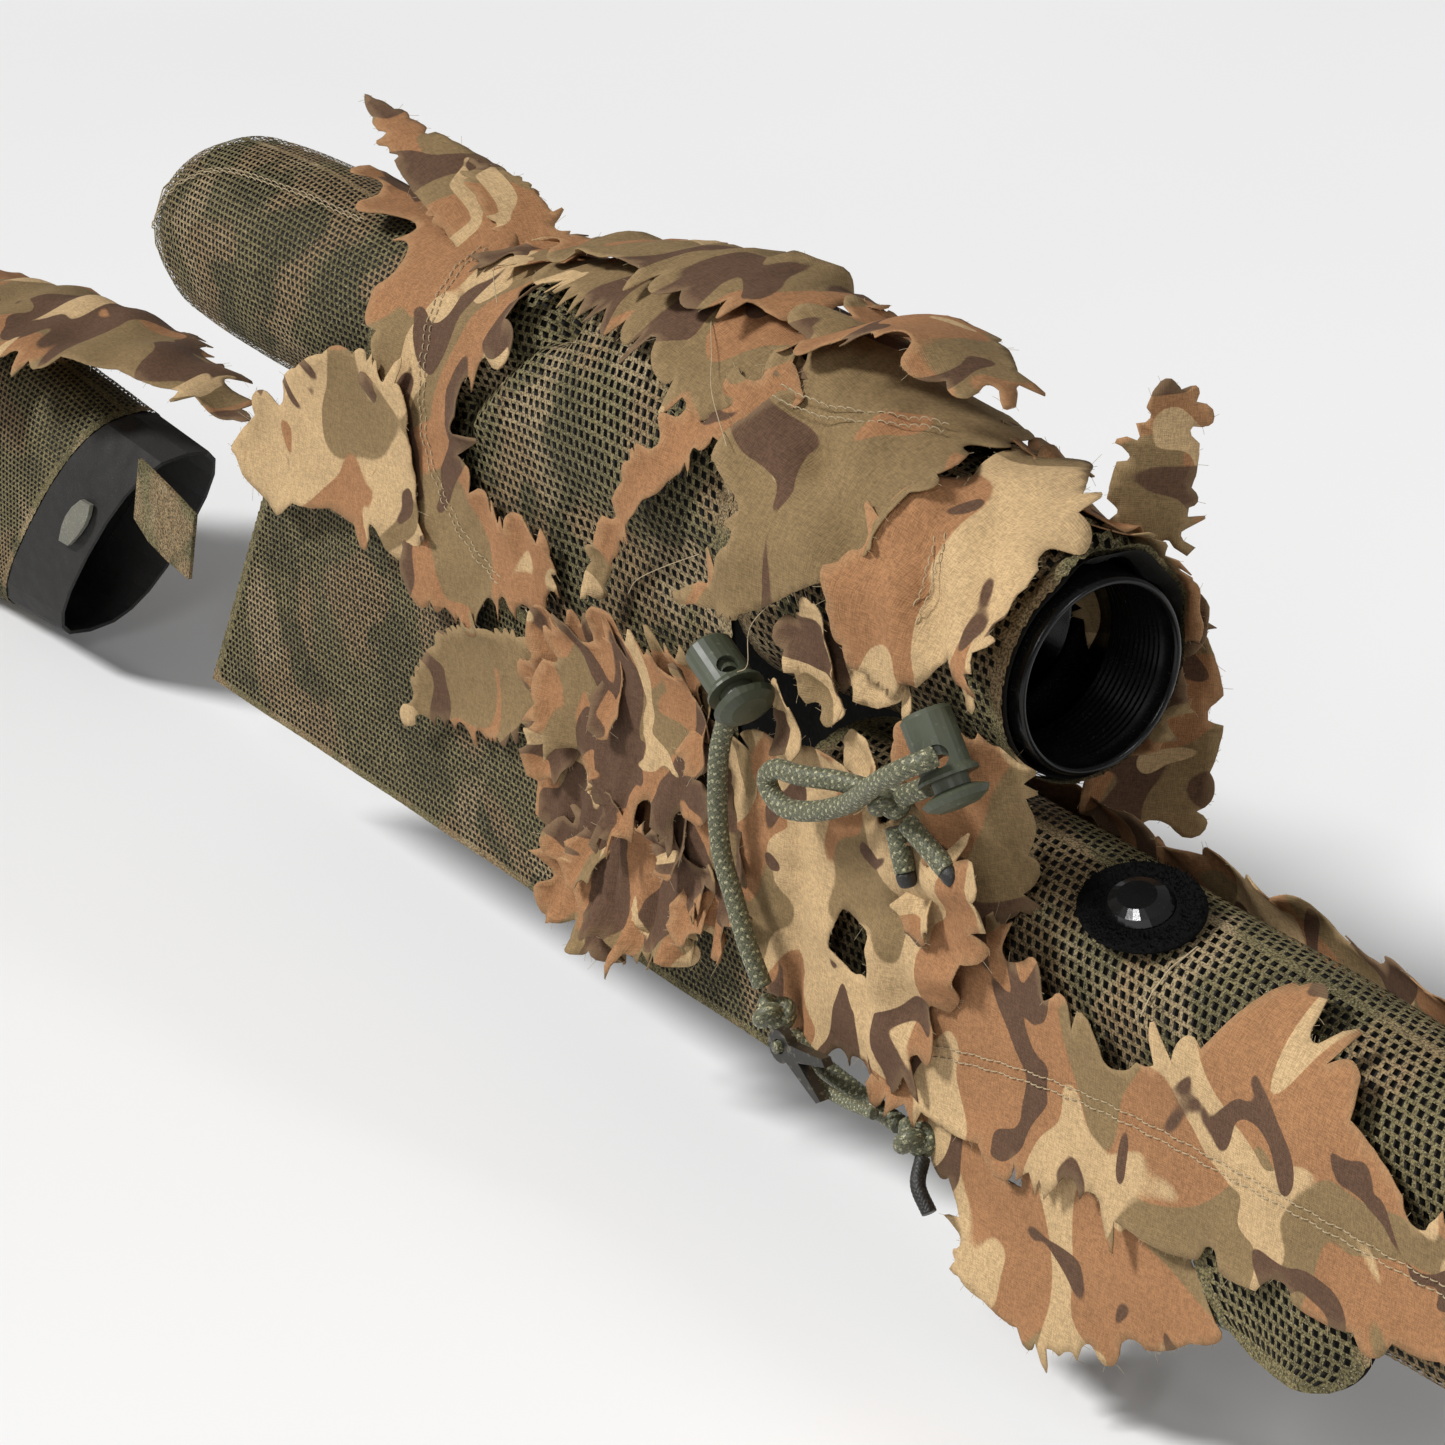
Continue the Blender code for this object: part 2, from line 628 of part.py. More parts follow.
def hook_outline():
    """Outline of the keeper hook: a round head and two prongs that open as a V."""
    head = [(5.6 * math.cos(a), 5.6 * math.sin(a)) for a in spread(math.radians(38), math.radians(322), 17)]
    prongs = [(21, -8.5), (23, -6.6), (10, 0), (23, 6.6), (21, 8.5)]
    return [(a * MM, b * MM) for a, b in head + prongs]


def build_hook():
    """Flat open hook with a hole in its head for the thin cord."""
    curve = bpy.data.curves.new("keeper_hook", "CURVE")
    curve.dimensions = "2D"
    curve.fill_mode = "BOTH"
    curve.extrude = HOOK_THICKNESS / 2
    hole_radius = THIN_CORD_DIAMETER / 2 + 0.5 * MM
    hole = [(hole_radius * math.cos(a), hole_radius * math.sin(a))
            for a in [2 * math.pi * i / 16 for i in range(16)]]
    for outline in (hook_outline(), hole):
        spline = curve.splines.new("POLY")
        spline.points.add(len(outline) - 1)
        spline.use_cyclic_u = True
        for spot, (a, b) in zip(spline.points, outline):
            spot.co = (a, b, 0, 1)
    hook = add_object("keeper_hook", curve, "steel", 0.3, 0.9)
    hook.matrix_world = frame_matrix(HOOK_POINT, (0, -1, 0), (1, 0, -0.15))


def build_stock_tab():
    """Short webbing tab on the elastic band."""
    garland("stock_tab", stock_profile, [(-372, 0.74), (-371, 0.98)], 7, "webbing", lobes=0, rows=4)


# ---------- cord locks ----------

def lock_matrix(head_point, axis, wide):
    """Matrix of a cord lock whose dome sits at the given point."""
    direction = Vector(axis).normalized()
    origin = Vector(head_point) - direction * (HEAD_START + HEAD_HEIGHT / 2)
    return frame_matrix(origin, axis, wide)


def cord_mouth(head_point, axis, wide, reach):
    """Centre of a cord lock's cord hole, moved out through the flat side of the barrel."""
    place = lock_matrix(head_point, axis, wide)
    return place @ Vector((0, reach, CORD_HOLE_HEIGHT))


def build_lock(label, head_point, axis, wide):
    """Cord lock: barrel with a cord hole and a window, spring, and plunger with a domed head."""
    place = lock_matrix(head_point, axis, wide)
    name = "lock_" + label
    barrel = turned(name + "_barrel", [
        (0, LOCK_FLOOR), (LOCK_BORE_RADIUS, LOCK_FLOOR), (LOCK_BORE_RADIUS, LOCK_LENGTH),
        (LOCK_COLLAR_RADIUS, LOCK_LENGTH), (LOCK_COLLAR_RADIUS, LOCK_LENGTH - 1 * MM),
        (LOCK_RADIUS, LOCK_LENGTH - 3 * MM), (LOCK_RADIUS, 1.5 * MM), (LOCK_RADIUS - 1.5 * MM, 0), (0, 0),
    ], "olive", 0.4, oval=(1.0, LOCK_FLATNESS))
    plunger = turned(name + "_plunger", [
        (0, HEAD_START + HEAD_HEIGHT), (HEAD_RADIUS - 4.5 * MM, HEAD_START + 4.4 * MM),
        (HEAD_RADIUS - 1.2 * MM, HEAD_START + 2.8 * MM), (HEAD_RADIUS, HEAD_START + 1.0 * MM),
        (HEAD_RADIUS - 1.5 * MM, HEAD_START), (STEM_RADIUS, HEAD_START - 1.2 * MM),
        (STEM_RADIUS, STEM_START), (0, STEM_START),
    ], "olive", 0.35, oval=(1.0, LOCK_FLATNESS))
    hole = cylinder_mesh(name + "_hole", CORD_HOLE_RADIUS, 24 * MM)
    sideways = Matrix.Rotation(math.pi / 2, 4, "X")
    for item, height in ((barrel, CORD_HOLE_HEIGHT), (plunger, CORD_HOLE_HEIGHT + PLUNGER_TRAVEL)):
        item.matrix_world = place
        hole_place = place @ Matrix.Translation((0, 0, height)) @ sideways
        cut(item, add_cutter(item.name + "_hole_cutter", hole, hole_place))
    window = box_mesh(name + "_window", (4.5 * MM, 8 * MM, 3.5 * MM))
    window_place = place @ Matrix.Translation((0, -LOCK_RADIUS, 5.5 * MM))
    cut(barrel, add_cutter(name + "_window_cutter", window, window_place))
    rod(name + "_spring", spring_points(place), SPRING_WIRE, "spring", 0.3, 1.0, resolution=1)


def spring_points(place):
    """Points of the coil between the barrel's floor and the plunger's stem."""
    low = LOCK_FLOOR + SPRING_WIRE / 2 + 0.2 * MM
    high = STEM_START - SPRING_WIRE / 2 - 0.2 * MM
    count = SPRING_TURNS * 10
    points = []
    for i in range(count + 1):
        angle = math.tau * i / 10
        height = low + (high - low) * i / count
        spot = Vector((SPRING_RADIUS * math.cos(angle), SPRING_RADIUS * math.sin(angle), height))
        points.append(place @ spot)
    return points


# ---------- cords ----------

def build_cords():
    """Drawcords, their knots and their melted ends."""
    main = [cord_mouth(LOCK_A_HEAD, LOCK_A_AXIS, LOCK_A_WIDE, -7 * MM)]
    main += mm_points((72.9, -50.4, -40.5), (69, -51, -56), (68, -51, -73), (70, -51, -90),
                      (77, -51, -104), (83, -50.5, -117), (88, -48, -131))
    rod("main_cord", smooth_path(main, 20), CORD_DIAMETER, "cord")
    lump("corner_knot", (91, -45.5, -140.5), (7, 6.5, 7), "cord")
    hem = mm_points((97, -43, -146.5), (108, -41, -152), (124, -40.5, -154), (139, -40.5, -155),
                    (149.5, -40.5, -155.5))
    rod("hem_cord", smooth_path(hem, 12), CORD_DIAMETER, "cord")
    lump("hem_knot", (157.5, -40.5, -156.5), (7.2, 6.5, 7.2), "cord")
    tip = mm_points((163.5, -42.5, -161.5), (168, -47.5, -166), (175, -48.5, -172))
    rod("hem_cord_tip", smooth_path(tip, 6), 5 * MM, "black", 0.9)
    thin = mm_points((106, -56.5, -143), (106, -53, -143), (106.3, -49, -144), (109, -47.8, -149.5),
                     (116, -47.8, -153.5), (130, -47.8, -153.5), (146, -47.8, -151))
    rod("hook_cord", smooth_path(thin, 22), THIN_CORD_DIAMETER, "cord")
    build_loop_cord()
    forend = mm_points((262, -32.5, -153), (280, -32.5, -156), (300, -32, -155), (320, -31.4, -152),
                       (338, -30.8, -150))
    rod("forend_cord", smooth_path(forend, 12), CORD_DIAMETER, "cord")


def build_loop_cord():
    """Loop through cord lock B with a tie and two cut ends."""
    loop = [cord_mouth(LOCK_B_HEAD, LOCK_B_AXIS, LOCK_B_WIDE, 9.2 * MM)]
    loop += mm_points((183.6, -61.4, -12.4), (180.4, -63.8, -14.6), (175, -64.6, -18.5), (166, -63.2, -25),
                      (156, -60.6, -33), (143, -57.5, -43), (129, -57, -51), (114, -57, -56.5),
                      (105.5, -57, -55.5), (102.2, -57, -50.5), (107, -57, -45.6), (118, -56.5, -43.6),
                      (132, -53, -41), (145.5, -50.5, -39.5))
    rod("loop_cord", smooth_path(loop, 44), CORD_DIAMETER, "cord")
    lump("tie_knot", (152.8, -49.5, -40.5), (6.5, 6, 7), "cord")
    back = mm_points((160, -50, -36), (166, -50, -32), (171.5, -49.5, -28.5))
    rod("loop_cord_back", smooth_path(back, 5), CORD_DIAMETER, "cord")
    first = mm_points((155.4, -49, -48.4), (158, -49, -55), (160.5, -49, -61))
    rod("loop_tail_1", smooth_path(first, 6), CORD_DIAMETER, "cord")
    rod("loop_tip_1", mm_points((160.8, -49, -61.7), (162.2, -49, -65)), 6 * MM, "black", 0.5)
    second = mm_points((160.4, -48.5, -45.2), (170, -48.5, -49), (179, -48, -53.5))
    rod("loop_tail_2", smooth_path(second, 6), CORD_DIAMETER, "cord")
    rod("loop_tip_2", mm_points((179.6, -48, -53.8), (183, -48, -55.6)), 6 * MM, "black", 0.5)


def build_all():
    """Builds every piece."""
    build_mesh_shells()
    build_garlands()
    build_sunshade_tube()
    build_button()
    build_hook()
    build_stock_tab()
    build_lock("a", LOCK_A_HEAD, LOCK_A_AXIS, LOCK_A_WIDE)
    build_lock("b", LOCK_B_HEAD, LOCK_B_AXIS, LOCK_B_WIDE)
    build_cords()


build_all()
bpy.context.view_layer.update()
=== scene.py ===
"""Looks of the ghillie rifle cover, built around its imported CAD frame.

Work is done in millimetres in the CAD's own frame (+X towards the muzzle, +Z up) and turned into
metres where a mesh is made. A place on a cover surface is (x, u): u is 0 along the top and grows
down the -Y side, and a negative u is the same place on the +Y side.
"""

import math
import random

import bpy
import numpy as np
from mathutils import Matrix, Vector
from mathutils.geometry import delaunay_2d_cdt


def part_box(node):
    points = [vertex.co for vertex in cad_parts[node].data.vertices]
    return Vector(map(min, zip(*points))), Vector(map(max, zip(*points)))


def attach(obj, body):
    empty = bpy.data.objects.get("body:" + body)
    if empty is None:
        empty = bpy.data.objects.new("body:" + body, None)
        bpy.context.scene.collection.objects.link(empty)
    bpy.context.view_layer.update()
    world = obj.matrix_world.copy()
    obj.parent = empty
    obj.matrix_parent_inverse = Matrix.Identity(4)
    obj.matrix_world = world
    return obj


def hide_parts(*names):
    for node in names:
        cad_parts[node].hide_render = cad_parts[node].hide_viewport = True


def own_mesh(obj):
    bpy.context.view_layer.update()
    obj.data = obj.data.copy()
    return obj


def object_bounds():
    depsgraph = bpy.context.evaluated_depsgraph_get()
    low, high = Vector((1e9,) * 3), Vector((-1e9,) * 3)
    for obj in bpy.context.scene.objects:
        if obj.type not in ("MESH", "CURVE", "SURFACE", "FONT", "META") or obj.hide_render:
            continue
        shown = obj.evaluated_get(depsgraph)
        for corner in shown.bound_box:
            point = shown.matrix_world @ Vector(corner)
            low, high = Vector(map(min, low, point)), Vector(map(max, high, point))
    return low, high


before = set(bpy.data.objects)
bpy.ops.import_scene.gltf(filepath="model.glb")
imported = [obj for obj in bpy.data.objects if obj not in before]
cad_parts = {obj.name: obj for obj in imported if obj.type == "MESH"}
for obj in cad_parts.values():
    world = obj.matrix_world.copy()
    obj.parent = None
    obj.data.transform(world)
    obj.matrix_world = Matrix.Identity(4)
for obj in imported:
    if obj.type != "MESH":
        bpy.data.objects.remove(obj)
CAD_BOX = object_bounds()
BODY = "cover"
MM = 0.001

# Camera and light
VIEW_TARGET = (0.358, 0.0, -85.386)
VIEW_AZIMUTH = 54.067
VIEW_ELEVATION = 24.796
VIEW_DISTANCE = 1450
VIEW_ANGLE = 18.824
FLOOR_SIZE = 9000
FLOOR_GAP = 1.0
FLOOR_GREY = (0.87, 0.87, 0.87)
SENSOR_WIDTH = 36
SKY_STRENGTH = 0.22
KEY_DIRECTION = (-0.37, -0.66, 0.75)
KEY_STRENGTH = 3.15
KEY_SOFTNESS = 12
STRIP_POWER = 4
STRIP_TARGET = (100, 0, -50)

# Net fabric
HOLE_PITCH = 2.75
HOLE_HEIGHT = 1.55
BAR_HEIGHT = 0.95
HOLE_SLANT = 0.16
HOLE_WIDENING = 0.17
HEM_CELLS = 3
LOOSE_MESH = 1.4
# Depth of the near-black sheet of painted shade behind each net.
SHADE_SHEET_DEPTH = 1.6

# Cut cloth
CLOTH_THICKNESS = 0.45
CLOTH_CELL = 3.4
EDGE_STEP = 1.2
SEAM_WIDTH = 3.2
SEAM_SPACING = 3.0
RIM_FADE = 0.9
LOWEST_LIFT = 0.8
UNEVEN_WAVES = 5
MM_PER_U = 45
EDGE_MIX = (0.11, 0.12, 0.27, 0.24)
FRAY_SHARE = 0.3
FRAY_SHORTEST = 0.5
FRAY_SPREAD = 1.9
STITCH_LENGTH = 3.0
STITCH_DIPS = (-0.5, 0.55, 0.65, 0.55)
NET_STITCH_DIPS = (-0.4, 0.7, 0.8, 0.7)
LAYER_GAP = 2.6
THREAD_DIAMETER = 0.42

# Braided cord
CORD_DIAMETER = 6.5
THIN_CORD_DIAMETER = 4.0
CARRIERS = 10
BRAID_PITCH = 1.8
BRAID_GROOVE = 0.86
BRAID_CROWN = 0.15
BRAID_SIDES = 56
WIRE_SIDES = 12
ROUND_STEPS = 4

# Colours, linear
CREAM = (0.50, 0.345, 0.18)
KHAKI = (0.225, 0.152, 0.072)
RUST = (0.325, 0.162, 0.074)
UMBER = (0.108, 0.06, 0.036)
OLIVE_NET = (0.125, 0.103, 0.048)
NET_PATCHES = (((0.18, 0.125, 0.063), 0.52, 58), ((0.088, 0.074, 0.034), 0.56, 36),
               ((0.22, 0.165, 0.09), 0.63, 40))
FRAY_THICKNESS = 0.12
CORD_GREEN = (0.058, 0.06, 0.031)
CORD_FLECK = (0.34, 0.32, 0.19)


# ---------- shader nodes ----------

def add_node(tree, kind, inputs=None, **settings):
    """Adds a node, with its settings and its inputs set or linked."""
    node = tree.nodes.new("ShaderNode" + kind)
    for name, value in settings.items():
        setattr(node, name, value)
    for name, value in (inputs or {}).items():
        if isinstance(value, bpy.types.NodeSocket):
            tree.links.new(value, node.inputs[name])
        else:
            node.inputs[name].default_value = value
    return node


def new_material(name, roughness, metallic=0.0, sheen=0.0, specular=0.5):
    """Makes a material and gives back its node tree and its shader."""
    material = bpy.data.materials.new(name)
    material.use_nodes = True
    tree = material.node_tree
    shader = tree.nodes["Principled BSDF"]
    shader.inputs["Roughness"].default_value = roughness
    shader.inputs["Metallic"].default_value = metallic
    shader.inputs["Sheen Weight"].default_value = sheen
    shader.inputs["Specular IOR Level"].default_value = specular
    return material, tree, shader


def noise_value(tree, vector, scale, detail=1.0, distortion=0.0):
    """Soft noise between 0 and 1."""
    inputs = {"Vector": vector, "Scale": scale, "Detail": detail, "Distortion": distortion}
    return add_node(tree, "TexNoise", inputs).outputs[0]


def step_mask(tree, value, edge, softness):
    """0 below edge and 1 above it, with a soft change."""
    inputs = {"Value": value, "From Min": edge - softness, "From Max": edge + softness}
    return add_node(tree, "MapRange", inputs, interpolation_type="SMOOTHSTEP").outputs[0]


def mix_color(tree, factor, low, high, blend="MIX"):
    """Mixes two colours, each a socket or a value."""
    node = add_node(tree, "Mix", data_type="RGBA", blend_type=blend)
    for index, value in ((0, factor), (6, low), (7, high)):
        if isinstance(value, bpy.types.NodeSocket):
            tree.links.new(value, node.inputs[index])
        elif index:
            node.inputs[index].default_value = (*value, 1.0)
        else:
            node.inputs[index].default_value = value
    return node.outputs[2]


def tone(tree, color, value, low, high):
    """Multiplies a colour by a brightness that goes from low to high with value."""
    level = add_node(tree, "MapRange", {"Value": value, "To Min": low, "To Max": high}).outputs[0]
    grey = add_node(tree, "CombineColor", {"Red": level, "Green": level, "Blue": level}).outputs[0]
    return mix_color(tree, 1.0, color, grey, "MULTIPLY")


def add_bump(tree, shader, height, strength, distance):
    """Adds surface relief, in millimetres."""
    bump = add_node(tree, "Bump", {"Height": height, "Strength": strength, "Distance": distance * MM})
    tree.links.new(bump.outputs[0], shader.inputs["Normal"])


def moved(tree, vector, offset, scale=(1, 1, 1)):
    """A moved and scaled copy of texture coordinates."""
    inputs = {"Vector": vector, "Location": offset, "Scale": scale}
    return add_node(tree, "Mapping", inputs).outputs[0]


def camo_cloth(name, base, patches, offset=0.0):
    """Printed cotton: flat camouflage patches with clean edges, linen grain and a fine weave.

    patches lists (colour, edge, size): more of the cloth has the colour the lower its edge is."""
    material, tree, shader = new_material(name, roughness=0.92, specular=0.2)
    flat = add_node(tree, "UVMap", uv_map="cloth").outputs[0]
    color = base
    for index, (tint, edge, size) in enumerate(patches):
        place = moved(tree, flat, (offset + 61.0 * index, offset * 0.7 + 37.0 * index, 3.0 * index),
                      (1.15, 0.85, 1.0))
        value = noise_value(tree, place, 1.0 / size, detail=1.1, distortion=0.8)
        color = mix_color(tree, step_mask(tree, value, edge, 0.005), color, tint)
    grain_along = noise_value(tree, moved(tree, flat, (0, 0, 5), (0.4, 3.0, 1)), 1.5, detail=3.0)
    grain_across = noise_value(tree, moved(tree, flat, (0, 0, 9), (3.0, 0.4, 1)), 1.5, detail=3.0)
    both = add_node(tree, "Math", {0: grain_along, 1: grain_across}, operation="ADD").outputs[0]
    grain = step_mask(tree, both, 1.0, 0.36)
    color = tone(tree, color, grain, 0.66, 1.3)
    cloudy = noise_value(tree, moved(tree, flat, (17, 5, 0)), 1 / 34, detail=3.0)
    color = tone(tree, color, cloudy, 0.80, 1.2)
    rim = add_node(tree, "Attribute", attribute_name="rim").outputs[2]
    color = mix_color(tree, add_node(tree, "Math", {0: rim, 1: 0.22}, operation="MULTIPLY").outputs[0],
                      color, CREAM)
    tree.links.new(color, shader.inputs["Base Color"])
    warp = add_node(tree, "TexWave", {"Vector": flat, "Scale": 0.5}, bands_direction="X").outputs[1]
    weft = add_node(tree, "TexWave", {"Vector": flat, "Scale": 0.5}, bands_direction="Y").outputs[1]
    weave = add_node(tree, "Math", {0: warp, 1: weft}, operation="ADD").outputs[0]
    relief = add_node(tree, "Math", {0: weave, 1: grain}, operation="ADD").outputs[0]
    add_bump(tree, shader, relief, 0.35, 0.15)
    return material


def net_fabric(name):
    """Knitted olive net with printed patches, rough threads and pale fibres."""
    material, tree, shader = new_material(name, roughness=0.85, specular=0.2)
    place = moved(tree, add_node(tree, "TexCoord").outputs["Object"], (0, 0, 0), (1000, 1000, 1000))
    color = OLIVE_NET
    for index, (tint, edge, size) in enumerate(NET_PATCHES):
        value = noise_value(tree, moved(tree, place, (90 * index, 40, 0)), 1 / size, 1.5, 0.4)
        color = mix_color(tree, step_mask(tree, value, edge, 0.03), color, tint)
    threads = noise_value(tree, place, 1.3, detail=4.0)
    color = tone(tree, color, step_mask(tree, threads, 0.5, 0.16), 0.35, 1.75)
    fibres = noise_value(tree, moved(tree, place, (3, 7, 1)), 2.4, detail=2.0)
    color = mix_color(tree, step_mask(tree, fibres, 0.66, 0.05), color, (0.40, 0.36, 0.25))
    tree.links.new(color, shader.inputs["Base Color"])
    add_bump(tree, shader, threads, 0.9, 0.5)
    return material


def speckled(name, base, worn, roughness, scale, metallic=0.0, relief=0.1, edge=0.62, specular=0.5):
    """Moulded or cast surface: base colour with small worn marks and slight unevenness."""
    material, tree, shader = new_material(name, roughness, metallic, specular=specular)
    place = moved(tree, add_node(tree, "TexCoord").outputs["Object"], (0, 0, 0), (1000, 1000, 1000))
    marks = noise_value(tree, place, scale, detail=5.0, distortion=0.3)
    color = mix_color(tree, step_mask(tree, marks, edge, 0.07), base, worn)
    clouds = noise_value(tree, place, 0.12, detail=3.0)
    tree.links.new(tone(tree, color, clouds, 0.8, 1.2), shader.inputs["Base Color"])
    rough = add_node(tree, "MapRange", {"Value": clouds, "To Min": roughness * 0.75,
                                        "To Max": min(roughness * 1.3, 1.0)}).outputs[0]
    tree.links.new(rough, shader.inputs["Roughness"])
    add_bump(tree, shader, marks, 0.5, relief)
    return material


def braid_material(name):
    """Braided cord with pale flecks, and painted shade in the grooves between strands and a painted highlight
    on their crowns.
    """
    material, tree, shader = new_material(name, roughness=0.55, sheen=0.1)
    place = moved(tree, add_node(tree, "TexCoord").outputs["Object"], (0, 0, 0), (1000, 1000, 1000))
    strand = add_node(tree, "Attribute", attribute_name="fleck").outputs[2]
    fibres = noise_value(tree, place, 2.2, detail=3.0)
    flecks = add_node(tree, "Math", {0: strand, 1: step_mask(tree, fibres, 0.5, 0.1)},
                      operation="MULTIPLY").outputs[0]
    color = mix_color(tree, flecks, CORD_GREEN, CORD_FLECK)
    crown = add_node(tree, "Attribute", attribute_name="crown").outputs[2]
    # Painted shade and highlight: darker where a strand sinks into a groove, lighter on its crown.
    color = tone(tree, color, crown, 0.18, 1.6)
    tree.links.new(tone(tree, color, fibres, 0.7, 1.3), shader.inputs["Base Color"])
    add_bump(tree, shader, fibres, 0.4, 0.12)
    return material


# ---------- curves and surfaces ----------

def spline(stops, spacing):
    """Even points along a smooth curve through the stops, in 2D or 3D."""
    stops = np.asarray(stops, float)
    ends = np.vstack([2 * stops[:1] - stops[1:2], stops, 2 * stops[-1:] - stops[-2:-1]])
    t = np.linspace(0, 1, 24, endpoint=False)[:, None]
    dense = []
    for k in range(len(ends) - 3):
        a, b, c, d = ends[k:k + 4]
        dense.append(0.5 * (2 * b + (c - a) * t + (2 * a - 5 * b + 4 * c - d) * t ** 2
                            + (3 * b - a - 3 * c + d) * t ** 3))
    dense = np.vstack(dense + [ends[-2:-1]])
    return resampled(dense, spacing)


def resampled(points, spacing):
    """Even points along a line of points."""
    lengths = line_lengths(points)
    count = max(int(round(lengths[-1] / spacing)), 2) + 1
    places = np.linspace(0, lengths[-1], count)
    return np.column_stack([np.interp(places, lengths, column) for column in points.T])


def line_lengths(points):
    """Length along a line at each of its points."""
    steps = np.linalg.norm(np.diff(points, axis=0), axis=1)
    return np.concatenate([[0.0], np.cumsum(steps)])


def closed_ring(points):
    """A ring of points with its first point again at its end."""
    return np.vstack([points, points[:1]])


def directions(line):
    """Unit vectors along a line at each of its points."""
    along = np.gradient(line, axis=0)
    return along / np.linalg.norm(along, axis=1, keepdims=True)


def leftward(along):
    """Flat directions turned a quarter to the left."""
    return np.column_stack([-along[:, 1], along[:, 0]])


SIGHT_ROWS = np.array((
    (-337, 4, 0.5, 0.5), (-336, 4, 12, 12), (-331, 4, 22, 22), (-320, 4, 30, 30), (-303, 5, 36, 36),
    (-280, 5, 38, 38), (-240, 5, 39, 39), (-200, 4, 37, 37), (-160, 2, 35, 37), (-125, 2, 36, 39),
    (-90, 3, 38, 43), (-50, 6, 41, 52), (-10, 8, 44, 58), (30, 8, 44, 58), (70, 5, 41, 50), (105, 3, 39, 43),
    (140, 1, 36, 38), (172, 0, 33.6, 33.6), (200, 0, 33.6, 33.6)), float)
SLEEVE_ROWS = np.array((
    (75, -57, 33, -142, -158), (160, -57, 31, -140, -154),
    (260, -57, 30, -136, -150), (430, -61, 27, -130, -144)), float)
STOCK_ROWS = np.array((
    (-620, -160, 22, 66), (-500, -157, 26, 66), (-400, -158, 25, 58), (-340, -158, 24, 54)), float)
STOCK_REAR, STOCK_FRONT = -620, -403
STOCK_SLANT = 0.85
STOCK_SLANT_RUN = 220
STOCK_SLANT_Z = -98
BRIDGE_RISE = 9.3
SHOULDER_DROP = 28
CURL_REACH = 11
APRON_GAP = 3
APRON_FLARE = 6
APRON_DROP = 60
FLAP_TOP = (-35, -126)
FLAP_SLOPE = 4
FLAP_LENGTH = 32
FLAP_WAVE = 1.2
SKIRT_Z = -60
HEM_Z = -166
SKIRT_HALF_WIDTH = 37
HEM_HALF_WIDTH = 33


def read_rows(rows, x, blur):
    """Reads a table of sections at x, with the corners between the rows rounded over blur."""
    shifts = np.linspace(-blur, blur, 7)
    return [sum(np.interp(x + shift, rows[:, 0], column) for shift in shifts) / len(shifts)
            for column in rows.T[1:]]


def sight_profile(x, u):
    """Ring round the sight: u 1 is the widest point and u 2 the bottom."""
    centre_z, half_width, half_height = read_rows(SIGHT_ROWS, x, np.where(x < -300, 1.5, 12.0))
    return -half_width * np.sin(u * np.pi / 2), centre_z + half_height * np.cos(u * np.pi / 2)


def cover_profile(x, u):
    """Arch over the sight to u 1, skirt to u 2, side panel to u 3."""
    arch_y, arch_z = sight_profile(x, np.minimum(u, 1))
    skirt = np.clip(u - 1, 0, 1)
    panel = np.maximum(u - 2, 0)
    y = arch_y + (-SKIRT_HALF_WIDTH - arch_y) * skirt + (SKIRT_HALF_WIDTH - HEM_HALF_WIDTH) * panel
    return y, arch_z + (SKIRT_Z - arch_z) * skirt + (HEM_Z - SKIRT_Z) * panel


def rear_profile(x, u):
    """Low arch over the receiver to u 1."""
    angle = u * np.pi / 2
    return -SKIRT_HALF_WIDTH * np.sin(angle), SKIRT_Z + BRIDGE_RISE * np.cos(angle) + 0 * x


def sleeve_profile(x, u):
    """Shoulder to u 1, side to u 2, curl under the fore-end to u 3."""
    top_z, half_width, side_z, low_z = read_rows(SLEEVE_ROWS, x, 20.0)
    shoulder = np.minimum(u, 1) * np.pi / 2
    side = np.clip(u - 1, 0, 1)
    curl = np.clip(u - 2, 0, 1) * np.pi / 2
    y = -half_width * np.sin(shoulder) + (half_width - CURL_REACH) * (1 - np.cos(curl))
    z = (top_z - SHOULDER_DROP * (1 - np.cos(shoulder)) + (side_z - top_z + SHOULDER_DROP) * side
         + (low_z - side_z) * np.sin(curl))
    return y, z


def apron_profile(x, u):
    """Over the fore-end sleeve to u 2, then straight down past its edge."""
    y, z = sleeve_profile(x, np.minimum(u, 2))
    beyond = np.maximum(u - 2, 0)
    return y - APRON_GAP * np.clip(u - 1, 0, 1) - APRON_FLARE * beyond, z - APRON_DROP * beyond


def stock_profile(x, u):
    """Ring round the stock: u 1 is the widest point and u 2 the bottom."""
    centre_z, half_width, half_height = read_rows(STOCK_ROWS, x, 15.0)
    across, up = np.sin(u * np.pi / 2), np.cos(u * np.pi / 2)
    return (-half_width * np.sign(across) * np.abs(across) ** 0.7,
            centre_z + half_height * np.sign(up) * np.abs(up) ** 0.8)


def flap_profile(x, u):
    """Flap of net that hangs outside the fore-end drawcord, from u 1 at its top to u 2."""
    waves = FLAP_WAVE * np.sin(x * 0.12)
    return FLAP_TOP[0] - FLAP_SLOPE * (u - 1) - waves, FLAP_TOP[1] - FLAP_LENGTH * (u - 1) + 0 * x


